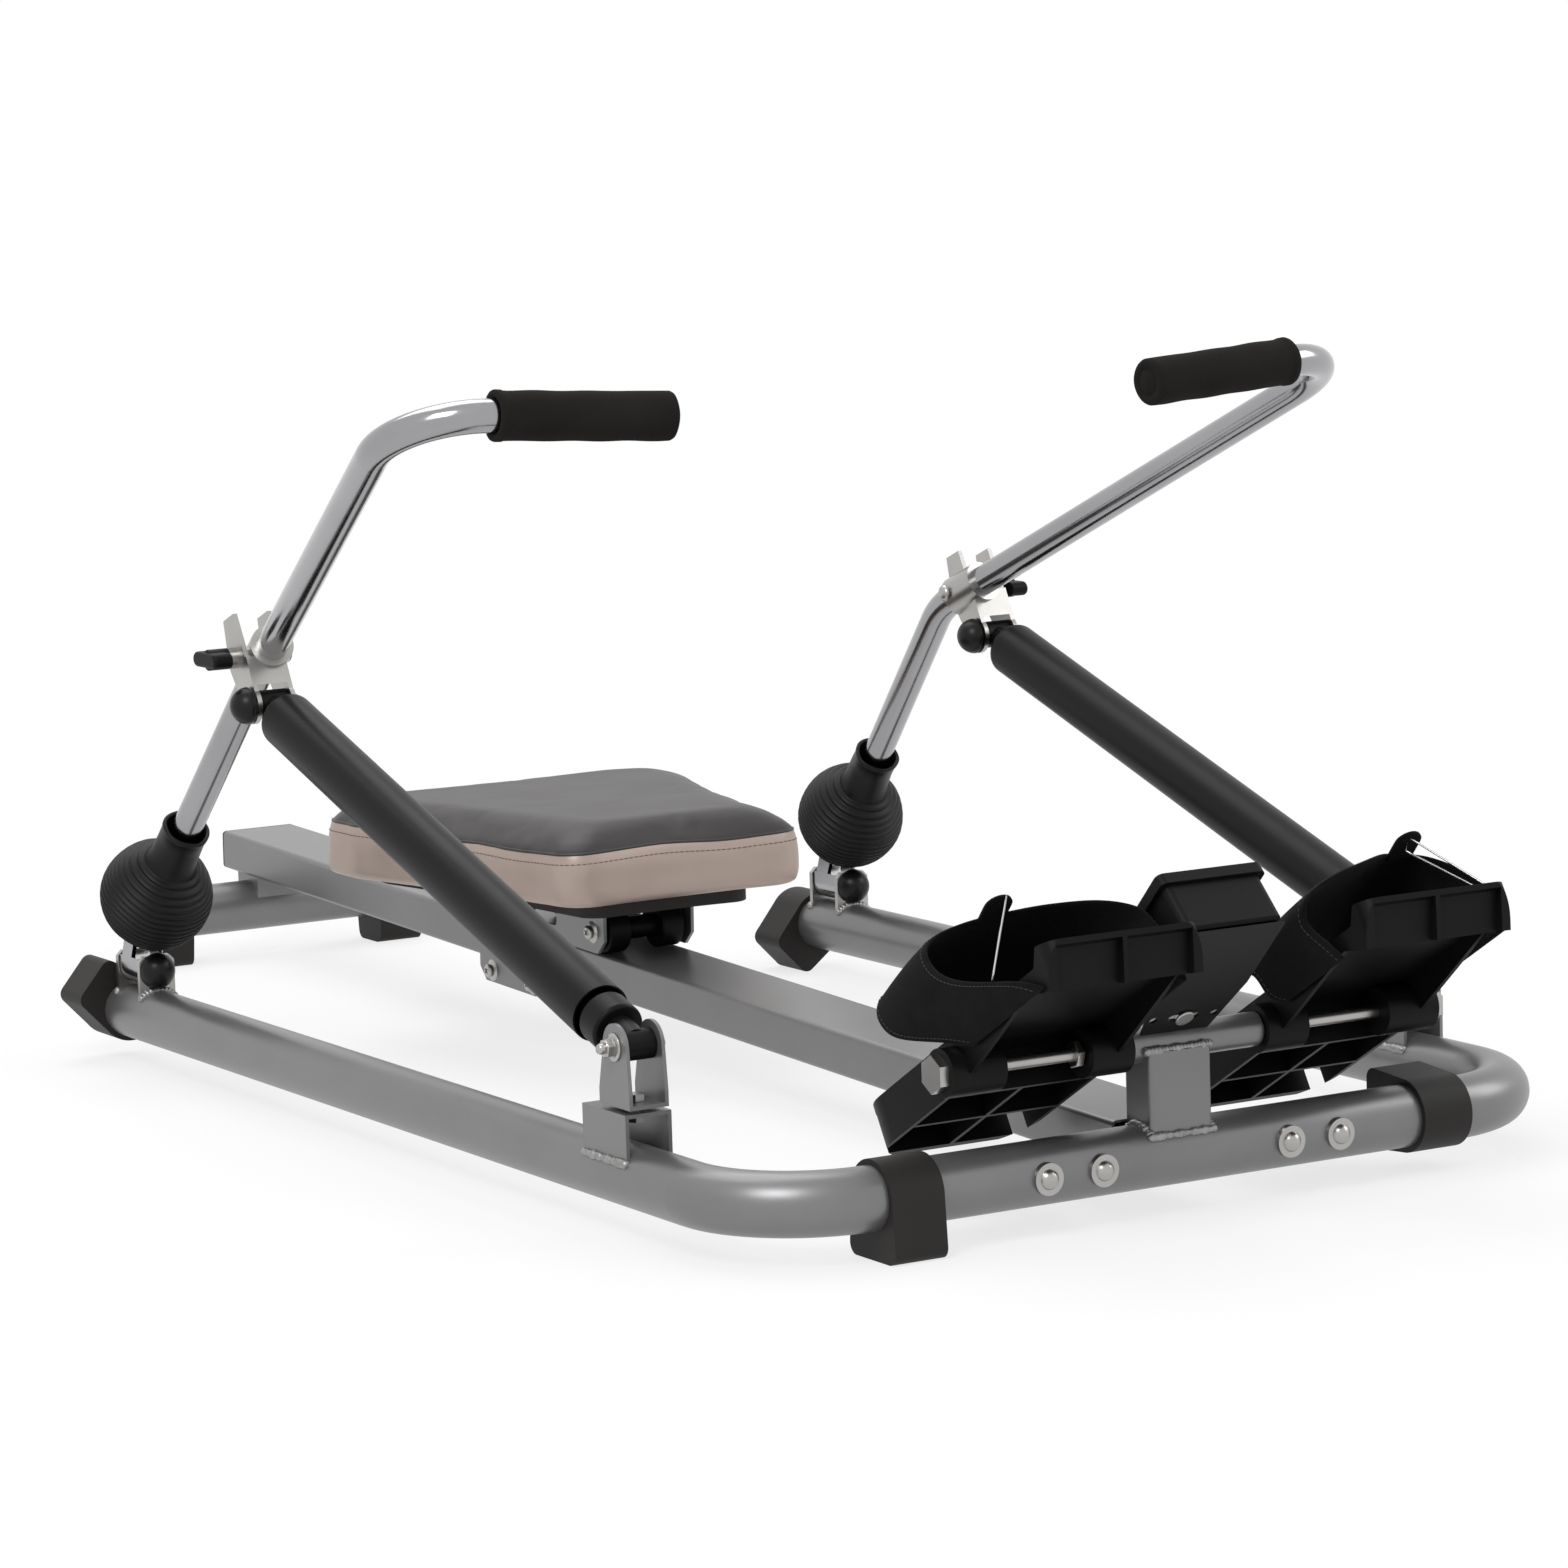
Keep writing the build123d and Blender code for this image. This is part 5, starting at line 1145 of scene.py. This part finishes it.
def weld_lines():
    lines = {"weld_post_foot": post_foot()}
    for name, facing in (("front", -1), ("rear", 1)):
        start = Vector((-POST_HALF_WIDTH, FRONT_Y + facing * POST_WELD_DEPTH, POST_WELD_Z))
        lines["weld_post_top_" + name] = between(start, start + ACROSS * (2 * POST_HALF_WIDTH), WELD_STEPS)
    for side, sign in SIDES.items():
        low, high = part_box("damper_brackets")
        for place, way in (("outer", sign), ("inner", -sign)):
            x = sign * HALF_TRACK + way * DAMPER_WELD_X
            start = tube_top(x, low.y + DAMPER_WELD_INSET, DAMPER_WELD_X)
            start.z -= DAMPER_WELD_SINK
            end = Vector((x, high.y - DAMPER_WELD_INSET, start.z))
            lines["weld_damper_" + place + "_" + side] = between(start, end, WELD_STEPS)
        low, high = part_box("oar_brackets")
        for place, y in (("front", low.y), ("rear", high.y)):
            arc = []
            for step in range(WELD_STEPS + 1):
                across = OAR_WELD_HALF * (2 * step / WELD_STEPS - 1)
                arc.append(tube_top(sign * HALF_TRACK + across, y, across))
            lines["weld_oar_" + place + "_" + side] = arc
    return lines


def add_welds():
    for name, places in weld_lines().items():
        ride_on(repeated(name, places, BEADS, closed=name == "weld_post_foot"), "frame")


# Nuts, washers, studs and screw heads: across flats, heights and radii in metres

NUT_STEPS = 24
NUT_CHAMFER_SHARE = 0.12
NUT_FACE_SHARE = 0.96
JAM_NUT_X = {"left": -0.0875, "right": 0.1215}
JAM_NUT = {"flats": 0.019, "height": 0.006, "bore": 0.0051}
PIN_NUT = {"flats": 0.0135, "height": 0.0075, "bore": 0.0041}
PIN_WASHER_HEIGHT = 0.0018
CLEVIS_CHEEK = Vector((0, 0, 0.012))
# Painted shade: dark bars raised on each screw head stand for the shaded hollows of its cross recess; their
# place, rise, size and taper
RECESS_SHADE_PLACE = 0.0028
RECESS_SHADE_RISE = 0.00065
RECESS_SHADE_HALF_LENGTH = 0.0032
RECESS_SHADE_HALF_WIDTH = 0.0006
RECESS_SHADE_SHRINK = 0.9
LOOK_IN_FROM = 0.3
SAME_PLACE_DIGITS = 6

# Outlines: distance from the face that carries the piece, and radius
EAR_BOLT = [(0.0, 0.0), (0.0, 0.0075), (0.0012, 0.0078), (0.003, 0.0066), (0.0046, 0.0042), (0.0052, 0.0)]
PIN_WASHER = [(0.0, 0.0), (0.0, 0.0108), (0.0003, 0.011), (0.0015, 0.011), (0.0018, 0.0107), (0.0018, 0.0)]
PIN_STUD = [(0.0, 0.0), (0.0, 0.0042), (0.0125, 0.0042), (0.0142, 0.0034), (0.0148, 0.0)]
SCREW_HEAD = [(0.0, 0.0), (0.0, 0.0062), (0.0012, 0.0065), (0.0024, 0.0058), (0.0031, 0.004), (0.0033, 0.0)]


def hex_nut(name, start, axis, flats, height, bore):
    # A chamfered hexagon with a hole
    axis, across, other = crosswise(axis)
    chamfer = flats / 2 * NUT_FACE_SHARE
    edge = height * NUT_CHAMFER_SHARE
    levels = ((0, bore), (0, chamfer), (edge, None), (height - edge, None), (height, chamfer), (height, bore))
    points = []
    rings = []
    for along, radius in levels:
        rings.append(range(len(points), len(points) + NUT_STEPS))
        for step in range(NUT_STEPS):
            angle = 2 * math.pi * step / NUT_STEPS
            from_flat = angle % (math.pi / 3) - math.pi / 6
            reach = radius or flats / 2 / math.cos(from_flat)
            points.append(around(start + axis * along, across, other, angle, reach))
    faces = []
    for number, ring in enumerate(rings):
        faces += bridge(ring, rings[(number + 1) % len(rings)])
    nut = add_mesh(name, points, faces, ZINC)
    face_outward(nut)
    return nut


def recess_shade_bar(name, place, outward, along):
    # A dark bar of painted shade that stands for the shaded hollow of one arm of a cross recess
    beside = outward.cross(along)
    points = []
    for level, shrink in ((0.0, 1.0), (RECESS_SHADE_RISE, RECESS_SHADE_SHRINK)):
        for x, y in ((-1, -1), (1, -1), (1, 1), (-1, 1)):
            points.append(place + outward * level + along * (x * RECESS_SHADE_HALF_LENGTH * shrink)
                          + beside * (y * RECESS_SHADE_HALF_WIDTH * shrink))
    faces = [(3, 2, 1, 0), (4, 5, 6, 7)] + bridge(range(4), range(4, 8))
    bar = add_mesh(name, points, faces, GLOSS)
    face_outward(bar)
    return bar


def first_face_x(name, place, way):
    # Where a line along X from outside first meets a piece of the frame
    start = place + ACROSS * (way * LOOK_IN_FROM)
    found = surface_of(nodes[name].data).ray_cast(start, -way * ACROSS)[0]
    return found.x if found else place.x


def piece_boxes(name):
    # The corners of each separate piece of a node's mesh, from front to rear
    mesh = nodes[name].data
    parent = list(range(len(mesh.vertices)))

    def root(item):
        while parent[item] != item:
            parent[item] = parent[parent[item]]
            item = parent[item]
        return item

    same = {}
    for vertex in mesh.vertices:
        key = tuple(round(part, SAME_PLACE_DIGITS) for part in vertex.co)
        parent[root(vertex.index)] = root(same.setdefault(key, vertex.index))
    for edge in mesh.edges:
        parent[root(edge.vertices[0])] = root(edge.vertices[1])
    groups = {}
    for vertex in mesh.vertices:
        groups.setdefault(root(vertex.index), []).append(vertex.co)
    boxes = []
    for group in groups.values():
        low = Vector([min(place[axis] for place in group) for axis in range(3)])
        high = Vector([max(place[axis] for place in group) for axis in range(3)])
        boxes.append((low, high))
    return sorted(boxes, key=lambda box: box[0].y)


def add_jam_nuts():
    for side, x in JAM_NUT_X.items():
        place = joint_place("pedal_swing_" + side)
        place.x = x
        ride_on(hex_nut("jam_nut_" + side, place, ACROSS, **JAM_NUT), "frame")


def add_ear_bolts():
    for side, sign in SIDES.items():
        place = joint_place("knob_turn_" + side)
        place.x = first_face_x("clamp_" + side, place, -sign)
        bolt = turned("ear_bolt_" + side, place, -sign * ACROSS, EAR_BOLT, ZINC, segments=32)
        ride_on(bolt, "oar_" + side)


def add_pin_nuts():
    for side in SIDES:
        low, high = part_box("lower_pin_" + side)
        place = (low + high) / 2
        place.x = first_face_x("clevis_" + side, place + CLEVIS_CHEEK, -1)
        washer = turned("pin_washer_" + side, place, -ACROSS, PIN_WASHER, ZINC, segments=48)
        nut = hex_nut("pin_nut_" + side, place - ACROSS * PIN_WASHER_HEIGHT, -ACROSS, **PIN_NUT)
        stud = turned("pin_stud_" + side, place, -ACROSS, PIN_STUD, ZINC, segments=24)
        for piece in (washer, nut, stud):
            ride_on(piece, nodes["lower_pin_" + side]["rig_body"])


def add_axle_screws():
    half = math.sqrt(0.5)
    for number, (low, high) in enumerate(piece_boxes("roller_axles")):
        middle = (low + high) / 2
        for side, face, outward in (("left", low.x, -ACROSS), ("right", high.x, ACROSS)):
            name = "screw_" + str(number) + "_" + side
            place = Vector((face, middle.y, middle.z))
            ride_on(turned(name, place, outward, SCREW_HEAD, ZINC, segments=32), "seat")
            # Painted shade: two dark bars across the head stand for the shaded cross recess
            for arm, along in enumerate((Vector((0, half, half)), Vector((0, -half, half)))):
                bar = recess_shade_bar(name + "_painted_slot_shade_" + str(arm), place + outward * RECESS_SHADE_PLACE, outward, along)
                ride_on(bar, "seat")


add_camera()
studio()
add_floor()
dress_frame()
dress_upper_pins()
sew_seat()
dress_bellows()
dress_grips()
dress_straps()
add_rings()
add_welds()
add_jam_nuts()
add_ear_bolts()
add_pin_nuts()
add_axle_screws()
